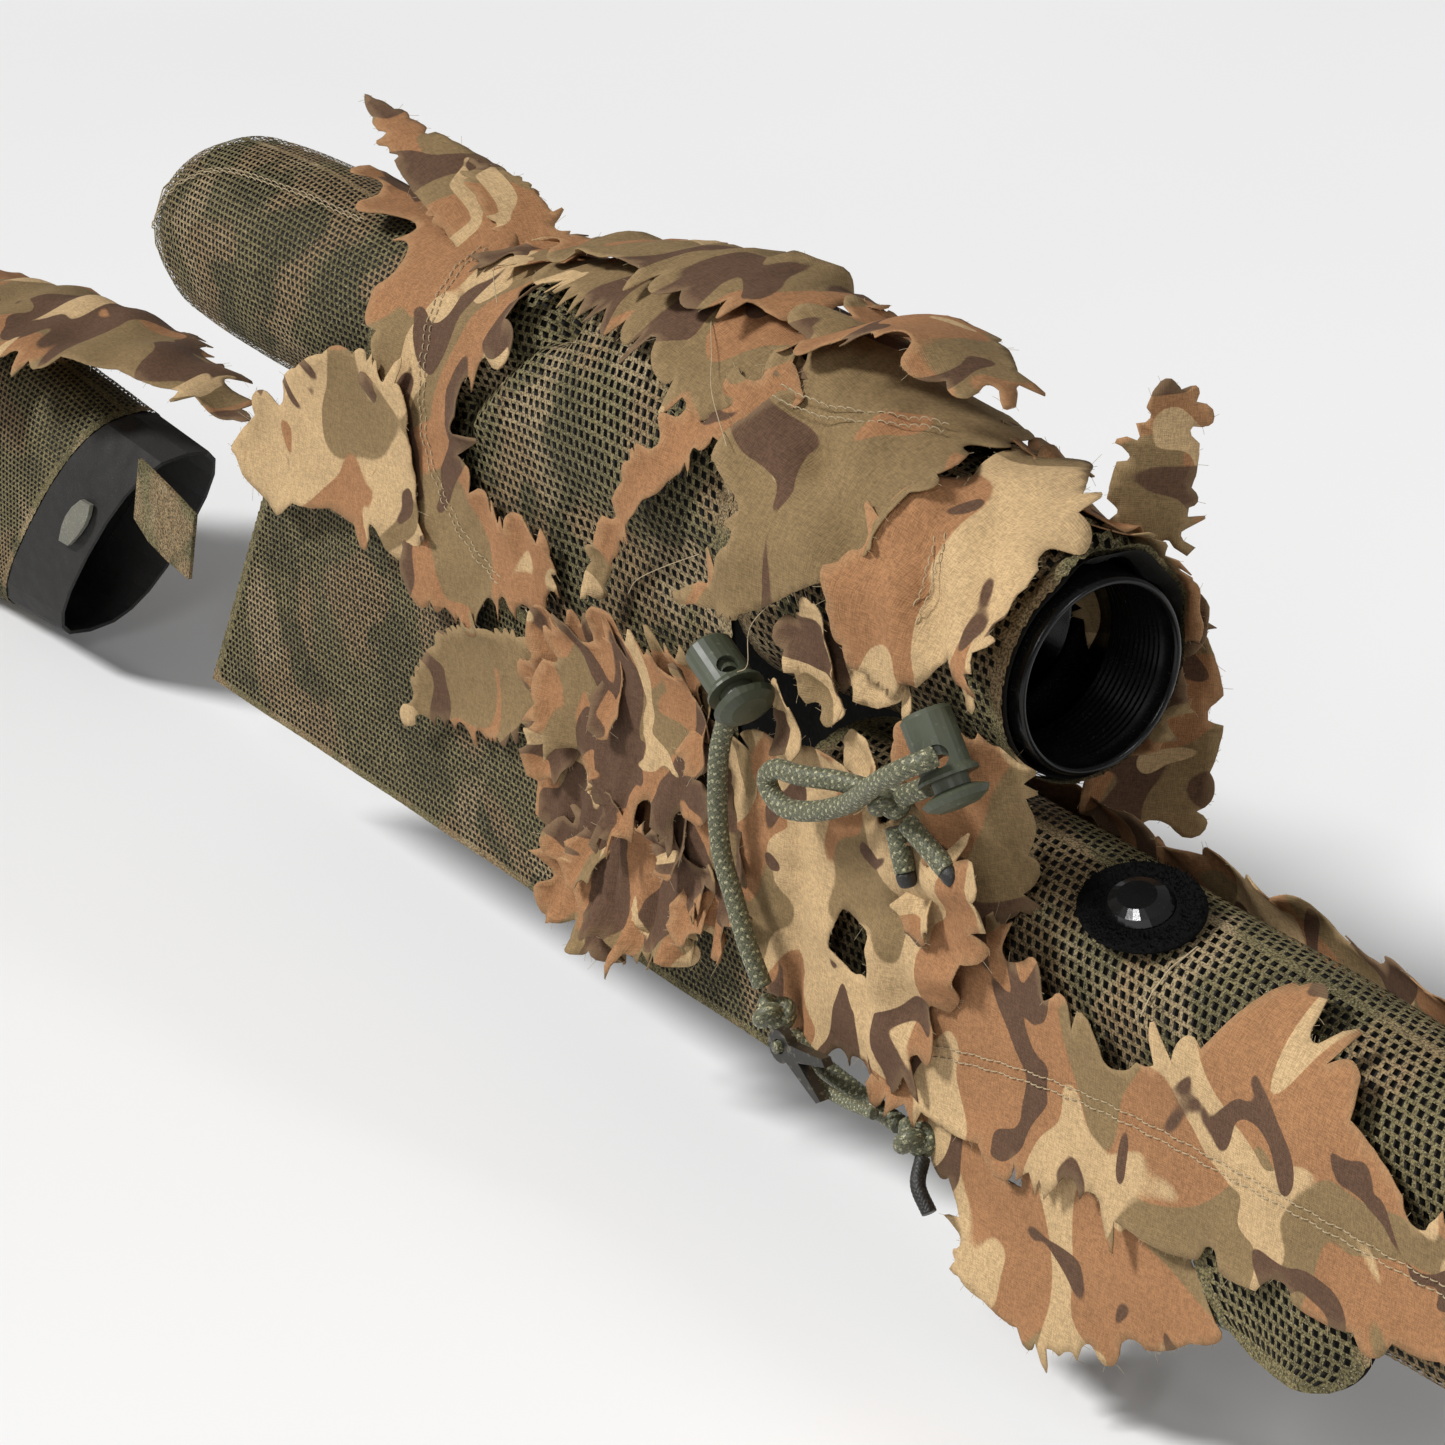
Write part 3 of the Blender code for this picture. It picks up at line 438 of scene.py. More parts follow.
def on_surface(profile, x, u, lift=0.0):
    """Points of a surface, moved outwards by lift."""
    x, u = np.broadcast_arrays(np.asarray(x, float), np.asarray(u, float))
    side = np.abs(u)
    y, z = profile(x, side)
    y_next, z_next = profile(x, side + 0.01)
    y_last, z_last = profile(x, side - 0.01)
    run, rise = y_next - y_last, z_next - z_last
    size = np.maximum(np.hypot(run, rise), 1e-6)
    y = np.where(u < 0, -1, 1) * (y + rise / size * lift)
    z = z - run / size * lift
    if profile is stock_profile:
        x = x + STOCK_SLANT * np.clip((x - STOCK_REAR) / STOCK_SLANT_RUN, 0, 1) * (z - STOCK_SLANT_Z)
    return np.stack(np.broadcast_arrays(x, y, z), axis=-1)


def arc_table(profile, x):
    """Distance down the side of a surface at one x, for a row of u values."""
    u = np.linspace(0, 3.4, 341)
    points = np.stack(np.broadcast_arrays(*profile(np.full_like(u, x), u)), axis=-1)
    return u, line_lengths(points)


# ---------- mesh pieces ----------

def linked(name, data):
    """New object in the scene."""
    item = bpy.data.objects.new(name, data)
    bpy.context.scene.collection.objects.link(item)
    return item


def make_object(name, points, faces, material, attributes=None, flat=None):
    """Mesh piece from points in millimetres, riding on the cover."""
    mesh = bpy.data.meshes.new(name)
    mesh.from_pydata((np.asarray(points) * MM).tolist(), [], [list(face) for face in faces])
    mesh.shade_smooth()
    for label, values in (attributes or {}).items():
        layer = mesh.attributes.new(label, "FLOAT", "POINT")
        layer.data.foreach_set("value", np.asarray(values, np.float32))
    if flat is not None:
        corners = np.empty(len(mesh.loops), np.int32)
        mesh.loops.foreach_get("vertex_index", corners)
        mesh.uv_layers.new(name="cloth").data.foreach_set("uv", np.asarray(flat, np.float32)[corners].ravel())
    mesh.materials.append(material)
    item = linked(name, mesh)
    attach(item, BODY)
    return item


def grid_faces(rows, columns):
    """Quads of a grid of points, and the row and column of each."""
    row, column = np.meshgrid(np.arange(rows - 1), np.arange(columns - 1), indexing="ij")
    corner = row * columns + column
    quads = np.stack([corner, corner + columns, corner + columns + 1, corner + 1], axis=-1)
    return quads.reshape(-1, 4), row.ravel(), column.ravel()


def crease_lift(x, u, scale, creases):
    """Sum of soft creases. Each is (x, u, x, u, width, depth) along a line on the surface."""
    lift = np.zeros_like(x)
    for x_start, u_start, x_end, u_end, width, depth in creases:
        run = np.array((x_end - x_start, (u_end - u_start) * scale))
        away = np.stack([x - x_start, (u - u_start) * scale], axis=-1)
        share = np.clip(away @ run / (run @ run), 0, 1)
        gap = np.linalg.norm(away - share[..., None] * run, axis=-1)
        lift += depth * np.exp(-(gap / width) ** 2)
    return lift


def uneven(x, u, size, height, seed):
    """Slow unevenness of cloth, from a few crossing waves."""
    rng = random.Random(seed)
    total = np.zeros_like(x)
    for _ in range(UNEVEN_WAVES):
        angle = rng.uniform(0, math.tau)
        wave = size * rng.uniform(0.7, 1.8)
        along = x * math.cos(angle) + u * MM_PER_U * math.sin(angle)
        total += np.sin(math.tau * along / wave + rng.uniform(0, math.tau))
    return total * height / UNEVEN_WAVES


def even_places(profile, x_start, x_end, u, mesh_size):
    """Places along x, half a hole pitch apart on the surface."""
    x = np.linspace(x_start, x_end, 1500)
    lengths = line_lengths(on_surface(profile, x, u))
    count = int(round(lengths[-1] / (HOLE_PITCH * mesh_size / 2))) + 1
    return np.interp(np.linspace(0, lengths[-1], count), lengths, x)


def lining(name, profile, x_range, u_range, folds=None, edge=None):
    """Near-black sheet just behind a net: painted shade, so the inside of the cover reads dark through the
    net's holes.
    """
    x = np.linspace(*x_range, max(int((x_range[1] - x_range[0]) / 5), 4))
    u = np.linspace(*u_range, 33)
    grid_u, grid_x = np.meshgrid(u, x, indexing="ij")
    lift = -SHADE_SHEET_DEPTH + (folds(grid_x, grid_u) if folds else 0.0)
    if edge:
        grid_x = edge(grid_x, grid_u)
    points = on_surface(profile, grid_x, grid_u, lift)
    quads, _, _ = grid_faces(len(u), len(x))
    item = make_object(name, points.reshape(-1, 3), quads, SHADE_SHEET)


def net(name, node, profile, x_range, u_range, folds=None, edge=None, mesh_size=1.0, seed=1):
    """Sheet of net on a surface: rows of small holes, each row half a pitch on from the last."""
    x_start, x_end = x_range
    u_start, u_end = u_range
    middle_u = (u_start + u_end) / 2
    middle_x = (x_start + x_end) / 2
    u_values, lengths = arc_table(profile, middle_x)
    depth = np.interp([abs(u_start), abs(u_end)], u_values, lengths)
    span = abs(depth[1] - depth[0]) if u_start * u_end >= 0 else depth.sum()
    pairs = int(round(span / (HOLE_HEIGHT + BAR_HEIGHT) / mesh_size))
    heights = np.cumsum([0] + [HOLE_HEIGHT, BAR_HEIGHT] * pairs)
    signed = heights / heights[-1]
    low, high = math.copysign(depth[0], u_start), math.copysign(depth[1], u_end)
    drops = low + (high - low) * signed
    u = np.sign(drops) * np.interp(np.abs(drops), lengths, u_values)
    x = even_places(profile, x_start, x_end, middle_u, mesh_size)
    columns = len(x)
    grid_u, grid_x = np.meshgrid(u, x, indexing="ij")
    slant = np.where(np.arange(len(u)) % 2 == 0, -HOLE_SLANT, HOLE_SLANT)[:, None] * mesh_size
    rng = np.random.default_rng(seed)
    right_corner = (np.arange(columns)[None, :] + np.arange(len(u))[:, None] // 2) % 2
    grid_x = grid_x + slant + (2 * right_corner - 1) * HOLE_WIDENING + rng.uniform(-0.1, 0.1, grid_x.shape)
    lift = uneven(grid_x, grid_u, 70, 0.7, seed) + rng.uniform(-0.08, 0.08, grid_x.shape)
    if folds:
        lift = lift + folds(grid_x, grid_u)
    if edge:
        grid_x = edge(grid_x, grid_u)
    points = on_surface(profile, grid_x, grid_u, lift).reshape(-1, 3)
    quads, row, column = grid_faces(len(u), columns)
    hole = (row % 2 == 0) & ((column + row // 2) % 2 == 0)
    last_row = len(u) - (2 if u_end == 0 else 3)
    hole &= (column >= HEM_CELLS) & (column < columns - 1 - HEM_CELLS) & (row > 1) & (row < last_row)
    item = make_object(name, points, quads[~hole], NET)
    if node:
        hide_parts(node)
    # Painted shade: a near-black sheet behind the net darkens its holes.
    lining(name.replace("net", "lining"), profile, x_range, u_range, folds, edge)


# ---------- cut cloth ----------

def leafy_outline(corners, seed, size=1.0, calm=0.35):
    """Closed outline through the corners, cut into leaf shapes along its edge."""
    rng = random.Random(seed)
    ring = cut_edge(corners, seed)
    ring = closed_ring(ring)[::-1]
    lengths = line_lengths(ring)
    outline = []
    place = 0.0
    while place < lengths[-1] - 3:
        for width, height, roundness in leaf_cuts(rng, calm):
            width = min(width * size, lengths[-1] - place)
            if width < 3:
                continue
            share = np.arange(max(int(width / EDGE_STEP), 3)) / max(int(width / EDGE_STEP), 3)
            here, outward, along = beside(ring, lengths, place + share * width)
            rise = height * size * (1 - np.abs(2 * share - 1) ** roundness)
            outline.append(here + outward * rise[:, None] + along * (rise * rng.uniform(-0.5, 0.5))[:, None])
            place += width
    return np.vstack(outline)


def leaf_cuts(rng, calm):
    """Next cuts along a leaf edge, in millimetres: width, height and how round each one is."""
    kind = rng.choices(("calm", "teeth", "finger", "lobe", "bay"), (calm, *EDGE_MIX))[0]
    if kind == "calm":
        return [(rng.uniform(16, 32), rng.uniform(0, 2.5), 2.0)]
    if kind == "teeth":
        return [(rng.uniform(5, 8), rng.uniform(4, 8), 0.75) for _ in range(rng.choice((2, 3)))]
    if kind == "finger":
        return [(rng.uniform(6, 8), rng.uniform(8, 13), 1.7), (rng.uniform(6, 9), rng.uniform(-3, 0), 2.2)]
    if kind == "lobe":
        return [(rng.uniform(11, 20), rng.uniform(4, 8), 2.4)]
    return [(rng.uniform(9, 17), rng.uniform(-8, -4), 2.6)]


def beside(ring, lengths, places):
    """Points of an outline at some distances along it, and the directions out of it and along it."""
    here = np.column_stack([np.interp(places, lengths, ring[:, k]) for k in (0, 1)])
    ahead = np.column_stack([np.interp(places + 1.5, lengths, ring[:, k]) for k in (0, 1)])
    back = np.column_stack([np.interp(places - 1.5, lengths, ring[:, k]) for k in (0, 1)])
    along = ahead - back
    along /= np.maximum(np.linalg.norm(along, axis=1, keepdims=True), 1e-6)
    return here, leftward(along), along


def inside(points, outline):
    """Whether each point is inside a closed outline."""
    result = np.zeros(len(points), bool)
    for (ax, ay), (bx, by) in zip(outline, np.roll(outline, -1, axis=0)):
        if ay == by:
            continue
        crosses = (points[:, 1] < ay) != (points[:, 1] < by)
        where = ax + (points[:, 1] - ay) / (by - ay) * (bx - ax)
        result ^= crosses & (points[:, 0] < where)
    return result


def distance_to(points, line):
    """Distance of each point from a line of points, and how far along the line it is."""
    lengths = line_lengths(line)
    best = np.full(len(points), 1e9)
    along = np.zeros(len(points))
    for k in range(len(line) - 1):
        run = line[k + 1] - line[k]
        size = max(run @ run, 1e-9)
        share = np.clip((points - line[k]) @ run / size, 0, 1)
        gap = np.linalg.norm(points - line[k] - share[:, None] * run, axis=1)
        nearer = gap < best
        best[nearer] = gap[nearer]
        along[nearer] = (lengths[k] + share * math.sqrt(size))[nearer]
    return best, along


def in_cloth(points, outline, holes):
    """Whether each point is inside an outline and outside its holes."""
    keep = inside(points, outline)
    for hole in holes:
        keep &= ~inside(points, hole)
    return keep


def filled(outline, holes=(), seed=1):
    """Triangles that fill a flat outline with holes in it, and the nearness of each point to an edge."""
    rng = np.random.default_rng(seed)
    loops = [outline, *holes]
    low, high = outline.min(axis=0), outline.max(axis=0)
    rows = np.arange(low[1], high[1], CLOTH_CELL * 0.87)
    columns = np.arange(low[0], high[0], CLOTH_CELL)
    spots = [(x + (k % 2) * CLOTH_CELL / 2, y) for k, y in enumerate(rows) for x in columns]
    spots = np.array(spots) + rng.uniform(-0.12, 0.12, (len(spots), 2)) * CLOTH_CELL
    spots = spots[in_cloth(spots, outline, holes)]
    rims = [closed_ring(loop) for loop in loops]
    near = np.min([distance_to(spots, rim)[0] for rim in rims], axis=0)
    spots = spots[near > CLOTH_CELL * 0.35]
    edges, start = [], 0
    for loop in loops:
        edges += [(start + k, start + (k + 1) % len(loop)) for k in range(len(loop))]
        start += len(loop)
    flat = [Vector(p) for p in np.vstack(loops + [spots])]
    found, _, triangles, *_ = delaunay_2d_cdt(flat, edges, [], 0, 1e-4)
    flat = np.array([tuple(p) for p in found])
    triangles = np.array(triangles)
    keep = in_cloth(flat[triangles].mean(axis=1), outline, holes)
    near = np.min([distance_to(flat, rim)[0] for rim in rims], axis=0)
    return flat, triangles[keep], near


def cloth_piece(name, layers, material, nodes=None, print_seed=None):
    """One piece of cut cloth made of layers. Each is (flat points, triangles, edge distance, points)."""
    flats, faces, rims, points = [], [], [], []
    start = 0
    for flat, triangles, near, placed in layers:
        flats.append(flat)
        faces.append(triangles + start)
        rims.append(np.exp(-near / RIM_FADE))
        points.append(placed)
        start += len(flat)
    shift = random.Random(print_seed or name).uniform(0, 400)
    flat = np.vstack(flats)
    item = make_object(name, np.vstack(points), np.vstack(faces), material,
                       attributes={"rim": np.concatenate(rims)}, flat=flat + shift)
    thickness = item.modifiers.new("thickness", "SOLIDIFY")
    thickness.thickness = CLOTH_THICKNESS * MM
    thickness.offset = 0
    nodes = [name] if nodes is None else nodes
    if nodes:
        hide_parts(*nodes)
    frayed_edge(name + "_fray", np.vstack(points), np.vstack(faces), np.concatenate(rims))


def frayed_edge(name, points, triangles, rims):
    """Short loose fibres that stand out from the cut edge."""
    rng = np.random.default_rng(len(points))
    inward = np.zeros_like(points)
    for k in range(3):
        np.add.at(inward, triangles[:, k], points[triangles[:, k - 1]] + points[triangles[:, k - 2]]
                  - 2 * points[triangles[:, k]])
    size = np.linalg.norm(inward, axis=1)
    starts = np.nonzero((rims > 0.99) & (size > 0.5) & (rng.random(len(points)) < FRAY_SHARE))[0]
    rows = []
    for k in starts:
        away = -inward[k] / size[k] + rng.normal(0, 0.5, 3)
        length = FRAY_SHORTEST + FRAY_SPREAD * rng.random() ** 3
        bend = rng.normal(0, 0.25, 3) * length
        rows.append(np.array([points[k] - away * 0.2, points[k] + away * length * 0.5 + bend * 0.4,
                              points[k] + away * length + bend]))
    thread_piece(name, rows, FRAY_THICKNESS)


def side_lines(seam, reach_left, reach_right):
    """Outline round a seam, with its reach on each side given at even places along it."""
    line = spline(seam, 4.0)
    across = leftward(directions(line))
    share = np.linspace(0, 1, len(line))
    left = np.interp(share, np.linspace(0, 1, len(reach_left)), reach_left)[:, None]
    right = np.interp(share, np.linspace(0, 1, len(reach_right)), reach_right)[:, None]
    return np.vstack([line + across * left, (line - across * right)[::-1]])[::3]


def to_flat(places, profile, x_middle):
    """Places (x, u) on a surface as flat millimetres."""
    u_values, lengths = arc_table(profile, x_middle)
    places = np.asarray(places, float)
    down = np.sign(places[:, 1]) * np.interp(np.abs(places[:, 1]), u_values, lengths)
    return np.column_stack([places[:, 0], down])


def flat_u(flat, profile, x_middle):
    """The u of flat millimetres on a surface."""
    u_values, lengths = arc_table(profile, x_middle)
    return np.sign(flat[:, 1]) * np.interp(np.abs(flat[:, 1]), lengths, u_values)


def from_flat(flat, profile, x_middle, lift):
    """Flat millimetres back on the surface, at a height."""
    return on_surface(profile, flat[:, 0], flat_u(flat, profile, x_middle), lift)


def flat_line(profile, seam):
    """A seam of (x, u) places as an even flat line, and the x at which it is laid flat."""
    middle = float(np.mean([place[0] for place in seam]))
    return spline(to_flat(seam, profile, middle), SEAM_SPACING), middle


def ruffle_lift(flat, seam, lift, height, fold, reach, seed):
    """Height of gathered cloth: held down at its seam, standing in folds away from it."""
    gap, along = distance_to(flat, seam)
    rng = random.Random(seed)
    phase, second = rng.uniform(0, math.tau), rng.uniform(0, math.tau)
    away = np.clip(gap / reach, 0, 1.3)
    turn = math.tau * along / fold + 0.9 * np.sin(math.tau * along / (fold * 2.7) + phase) + 0.9 * away
    soft = 0.5 + 0.5 * np.sin(turn + second)
    sharp = 1 - np.abs(np.sin(turn * 0.5 + second))
    curls = 0.5 + 0.5 * np.sin(turn * 1.9 + phase + gap * 0.12)
    pinch = 0.5 * np.sin(math.tau * along / 12 + phase) * np.exp(-gap / 14)
    rumple = uneven(flat[:, 0], flat[:, 1] / MM_PER_U, 26, 0.16 * height + 0.5, seed)
    folds = 0.4 * soft + 0.35 * sharp + 0.25 * curls
    return lift + 1.0 + pinch + rumple * away + height * away ** 1.1 * folds


def edge_curl(flat, near, height, seed):
    """Free edges of cut cloth stand up a little, more in some places than in others."""
    wave = 0.5 + uneven(flat[:, 0], flat[:, 1] / MM_PER_U, 34, 1.2, seed + 5)
    return height * np.clip(wave, -0.2, 1.4) * np.exp(-near / 6)


def cut_edge(corners, seed):
    """Closed cloth outline through corners: pointed tips, round bays and an uneven cut."""
    ring = np.asarray(corners, float)
    after = np.roll(ring, -1, axis=0)
    if np.sum(ring[:, 0] * after[:, 1] - ring[:, 1] * after[:, 0]) < 0:
        ring = ring[::-1]
    for tip_cut, bay_cut in ((0.07, 0.3), (0.16, 0.25), (0.2, 0.25)):
        before, after = np.roll(ring, 1, axis=0), np.roll(ring, -1, axis=0)
        into, out = ring - before, after - ring
        bay = into[:, 0] * out[:, 1] - into[:, 1] * out[:, 0] < 0
        share = np.where(bay, bay_cut, tip_cut)[:, None]
        ring = np.stack([ring - into * share, ring + out * share], axis=1).reshape(-1, 2)
    ring = resampled(closed_ring(ring), EDGE_STEP)[:-1]
    return ring + np.random.default_rng(seed).uniform(-0.16, 0.16, ring.shape)


def surface_leaf(profile, outline, seam, lift=2.0, height=6.0, fold=40.0, curl=2.5, creases=(), seed=1,
                 holes=(), cut=0.8, calm=0.45):
    """Layer of cut cloth on a surface, from an outline and a seam of (x, u) places.

    cut is the size of the leaf shapes along its edge, and calm is the share of the edge without any."""
    flat_seam, middle = flat_line(profile, seam)
    edge = leafy_outline(to_flat(outline, profile, middle), seed, cut, calm)
    flat_holes = [cut_edge(to_flat(hole, profile, middle), seed + 1) for hole in holes]
    flat, triangles, near = filled(edge, flat_holes, seed=seed)
    reach = max(distance_to(edge, flat_seam)[0].max(), 10.0)
    up = ruffle_lift(flat, flat_seam, lift, height, fold, reach, seed) + edge_curl(flat, near, curl, seed)
    u = flat_u(flat, profile, middle)
    up = up + crease_lift(flat[:, 0], u, 60, creases)
    return flat, triangles, near, on_surface(profile, flat[:, 0], u, np.maximum(up, LOWEST_LIFT))


def scrap(profile, place, length, width, turn, rise, seed):
    """Small leaf sewn down at one end: folded along its middle and curling away from the surface."""
    rng = random.Random(seed)
    shape = [(-0.05, 0.25), (0.15, 0.62), (0.32, 0.42), (0.5, 0.9), (0.66, 0.5), (0.84, 0.62), (1.0, 0.05),
             (0.9, -0.3), (0.74, -0.35), (0.6, -0.85), (0.42, -0.5), (0.24, -0.7), (-0.05, -0.3)]
    shape = [(along * length * rng.uniform(0.92, 1.08), across * width / 2 * rng.uniform(0.75, 1.2))
             for along, across in shape]
    leaf = cut_edge(shape, seed)
    flat, triangles, near = filled(leaf, seed=seed)
    share = np.clip(flat[:, 0] / length, 0, 1.1)
    fold = np.abs(flat[:, 1]) * 0.45 * np.sin(math.pi * np.clip(share, 0, 1)) ** 0.5
    wave = np.sin(flat[:, 0] / length * 7 + seed) * 0.09 * rise
    up = 3.0 + rise * share ** 1.3 + fold + wave + edge_curl(flat, near, 2.0, seed)
    angle = math.radians(turn)
    bend = 1 - 0.22 * share
    down = to_flat([place], profile, place[0])[0]
    across = np.column_stack([flat[:, 0] * bend * math.cos(angle) - flat[:, 1] * math.sin(angle),
                              flat[:, 0] * bend * math.sin(angle) + flat[:, 1] * math.cos(angle)])
    return flat + 30.0 * seed, triangles, near, from_flat(down + across, profile, place[0], up)


def scraps(rows):
    """Scraps on the cover from rows of (x, u, length, width, turn, rise, seed)."""
    return [scrap(cover_profile, row[:2], *row[2:]) for row in rows]


def seam_stitches(name, profile, seam, lift, seed):
    """Double stitching along a seam of (x, u) places."""
    line, middle = flat_line(profile, seam)
    add_stitches(name, line, profile, middle, lift, seed)


def side_layers(profile, seam, reach_left, reach_right, lift, height, layers, seed, fold=26.0):
    """Layers of leaf-cut cloth on both sides of a seam that follows (x, u) places."""
    flat_seam, middle = flat_line(profile, seam)
    reach = max(max(reach_left), max(reach_right), 6.0)
    pieces = []
    for layer in range(layers):
        share = 1.0 - 0.22 * layer
        corners = side_lines(flat_seam, [r * share for r in reach_left], [r * share for r in reach_right])
        flat, triangles, near = filled(leafy_outline(corners, seed + 17 * layer), seed=seed)
        up = ruffle_lift(flat, flat_seam, lift + LAYER_GAP * layer, height, fold * (1 - 0.2 * layer), reach,
                         seed + layer)
        placed = from_flat(flat, profile, middle, up + edge_curl(flat, near, 2.5, seed))
        pieces.append((flat + layer * 140.0, triangles, near, placed))
    return pieces


def garland(name, profile, seam, reach_left, reach_right, material, lift=1.2, height=9.0, fold=26.0,
            layers=1, seed=1):
    """Gathered strip sewn down along its seam."""
    pieces = side_layers(profile, seam, reach_left, reach_right, lift, height, layers, seed, fold)
    cloth_piece(name, pieces, material)
    seam_stitches(name + "_stitches", profile, seam, lift + LAYER_GAP * (layers - 1), seed)


def add_stitches(name, seam, profile, middle, lift, seed):
    """Two rows of pale thread that dips through the cloth at every stitch."""
    across = leftward(directions(seam))
    rows = []
    for side in (-0.5, 0.5):
        line = resampled((seam + across * SEAM_WIDTH * side)[1:-1], STITCH_LENGTH / 4)
        dip = np.choose(np.arange(len(line)) % 4, STITCH_DIPS)
        base = ruffle_lift(line, seam, lift, 0.0, 26.0, 10.0, seed)
        rows.append(from_flat(line, profile, middle, base + 0.15 + dip))
    thread_piece(name, rows)


def thread_piece(name, rows, diameter=THREAD_DIAMETER, material=None):
    """Thin threads along lines of points."""
    curve = bpy.data.curves.new(name, "CURVE")
    curve.dimensions = "3D"
    curve.bevel_depth = diameter / 2 * MM
    curve.bevel_resolution = 1
    for row in rows:
        strand = curve.splines.new("POLY")
        strand.points.add(len(row) - 1)
        strand.points.foreach_set("co", np.column_stack([row * MM, np.ones(len(row))]).ravel())
    curve.materials.append(material or THREAD)
    item = linked(name, curve)
    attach(item, BODY)


def free_leaf(spine, across, outline, cup=0.0, ripple=1.5, seed=1, cut=0.6, calm=0.45):
    """Layer of cloth that stands or hangs free: its outline is (distance along the spine, across it)."""
    line = spline(spine, 2.0)
    lengths = line_lengths(line)
    along = directions(line)
    side = np.asarray(across, float)
    side = side / np.linalg.norm(side)
    flat, triangles, near = filled(leafy_outline(outline, seed, cut, calm), seed=seed)
    centre = np.column_stack([np.interp(flat[:, 0], lengths, line[:, k]) for k in range(3)])
    direction = np.column_stack([np.interp(flat[:, 0], lengths, along[:, k]) for k in range(3)])
    beyond = np.clip(flat[:, 0] - lengths[-1], 0, None) + np.clip(flat[:, 0], None, 0)
    normal = np.cross(direction, side)
    normal /= np.linalg.norm(normal, axis=1, keepdims=True)
    wide = max(np.abs(flat[:, 1]).max(), 1)
    bend = cup * (flat[:, 1] / wide) ** 2 + uneven(flat[:, 0], flat[:, 1] / MM_PER_U, 42, ripple, seed)
    bend = bend + edge_curl(flat, near, 2.0, seed)
    placed = centre + direction * beyond[:, None] + side * flat[:, 1:2] + normal * bend[:, None]
    return flat, triangles, near, placed


# ---------- cords, knots and turned pieces ----------

def moving_frames(line):
    """Two unit vectors across a line at each point, with no twist between them."""
    along = directions(line)
    first = np.cross(along[0], (0.0, 0.0, 1.0) if abs(along[0][2]) < 0.9 else (1.0, 0.0, 0.0))
    sides = [first / np.linalg.norm(first)]
    for direction in along[1:]:
        side = sides[-1] - direction * (sides[-1] @ direction)
        sides.append(side / np.linalg.norm(side))
    sides = np.array(sides)
    return sides, np.cross(along, sides)


def tube_faces(rings, sides):
    """Faces of a tube of rings of points, with its two flat ends."""
    ring, column = np.meshgrid(np.arange(rings - 1), np.arange(sides), indexing="ij")
    after = (column + 1) % sides
    quads = np.stack([ring * sides + column, ring * sides + after,
                      (ring + 1) * sides + after, (ring + 1) * sides + column], axis=-1)
    ends = [list(range(sides))[::-1], [(rings - 1) * sides + k for k in range(sides)]]
    return quads.reshape(-1, 4).tolist() + ends


def wire_tube(name, line, diameter, material):
    """Plain round wire along a line of points."""
    first, second = moving_frames(line)
    angle = np.linspace(0, math.tau, WIRE_SIDES, endpoint=False)[None, :, None]
    points = line[:, None] + diameter / 2 * (np.cos(angle) * first[:, None] + np.sin(angle) * second[:, None])
    return make_object(name, points.reshape(-1, 3), tube_faces(len(line), WIRE_SIDES), material)


def braided_tube(name, stops, diameter, nodes, material=None):
    """Diamond-braided cord: strands of two directions pass over and under each other."""
    scale = diameter / CORD_DIAMETER
    pitch = BRAID_PITCH * scale
    line = spline(stops, pitch / 5)
    lengths = line_lengths(line)
    sides, ups = moving_frames(line)
    turn = np.linspace(0, 1, BRAID_SIDES, endpoint=False)
    right = CARRIERS * turn[None, :] + lengths[:, None] / pitch
    left = CARRIERS * turn[None, :] - lengths[:, None] / pitch
    right_on_top = (np.floor(right) + np.floor(left)) % 2 == 0
    across = np.where(right_on_top, right, left) % 1.0 - 0.5
    lengthwise = np.where(right_on_top, left, right) % 1.0 - 0.5
    crown = np.sqrt(np.clip(1 - (2 * across) ** 2, 0, 1)) * (1 - (1.5 * lengthwise) ** 4 * 0.9)
    crown = np.clip(crown, 0, 1)
    radius = diameter / 2 * (BRAID_GROOVE + BRAID_CROWN * crown)
    strand = np.floor(right) * 3 + np.floor(left) * 5
    fleck = np.where(strand % 7 < 1.5, 0.9, 0.1)
    angle = math.tau * turn[None, :, None]
    around = np.cos(angle) * sides[:, None] + np.sin(angle) * ups[:, None]
    points = line[:, None] + radius[..., None] * around
    # The crown attribute also carries the braid's painted shade and highlight into its material.
    item = make_object(name, points.reshape(-1, 3), tube_faces(len(line), BRAID_SIDES), material or BRAID,
                       attributes={"fleck": fleck.ravel(), "crown": crown.ravel()})
    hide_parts(*nodes)
    return item, line


def knot(name, centre, radius, diameter):
    """Tight overhand knot of the same braided cord."""
    t = np.linspace(0, math.tau, 40, endpoint=False)
    loop = np.column_stack([np.sin(t) + 2 * np.sin(2 * t), np.cos(t) - 2 * np.cos(2 * t),
                            -1.4 * np.sin(3 * t)])
    loop = np.asarray(centre) + loop / 3 * radius
    item, _ = braided_tube(name, closed_ring(loop), diameter, [name])
    return item


def turned(name, profile, place, material, nodes, sides=96, oval=(1.0, 1.0), closed=False):
    """Turned piece from (radius, height) points, set in place by a matrix in millimetres."""
    profile = np.asarray(profile, float)
    angle = np.linspace(0, math.tau, sides, endpoint=False)
    points = np.stack(np.broadcast_arrays(
        profile[:, :1] * np.cos(angle) * oval[0], profile[:, :1] * np.sin(angle) * oval[1],
        profile[:, 1:] + 0 * angle), axis=-1).reshape(-1, 3)
    faces = []
    stops = len(profile)
    for k in range(stops if closed else stops - 1):
        low, high = k * sides, (k + 1) % stops * sides
        for j in range(sides):
            after = (j + 1) % sides
            faces.append((low + j, high + j, high + after, low + after))
    if not closed:
        faces.append(list(range(sides)))
        faces.append([(stops - 1) * sides + j for j in range(sides)][::-1])
    rotation = np.array(place.to_3x3())
    points = points @ rotation.T + np.array(place.translation)
    item = make_object(name, points, faces, material)
    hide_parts(*nodes)
    return item


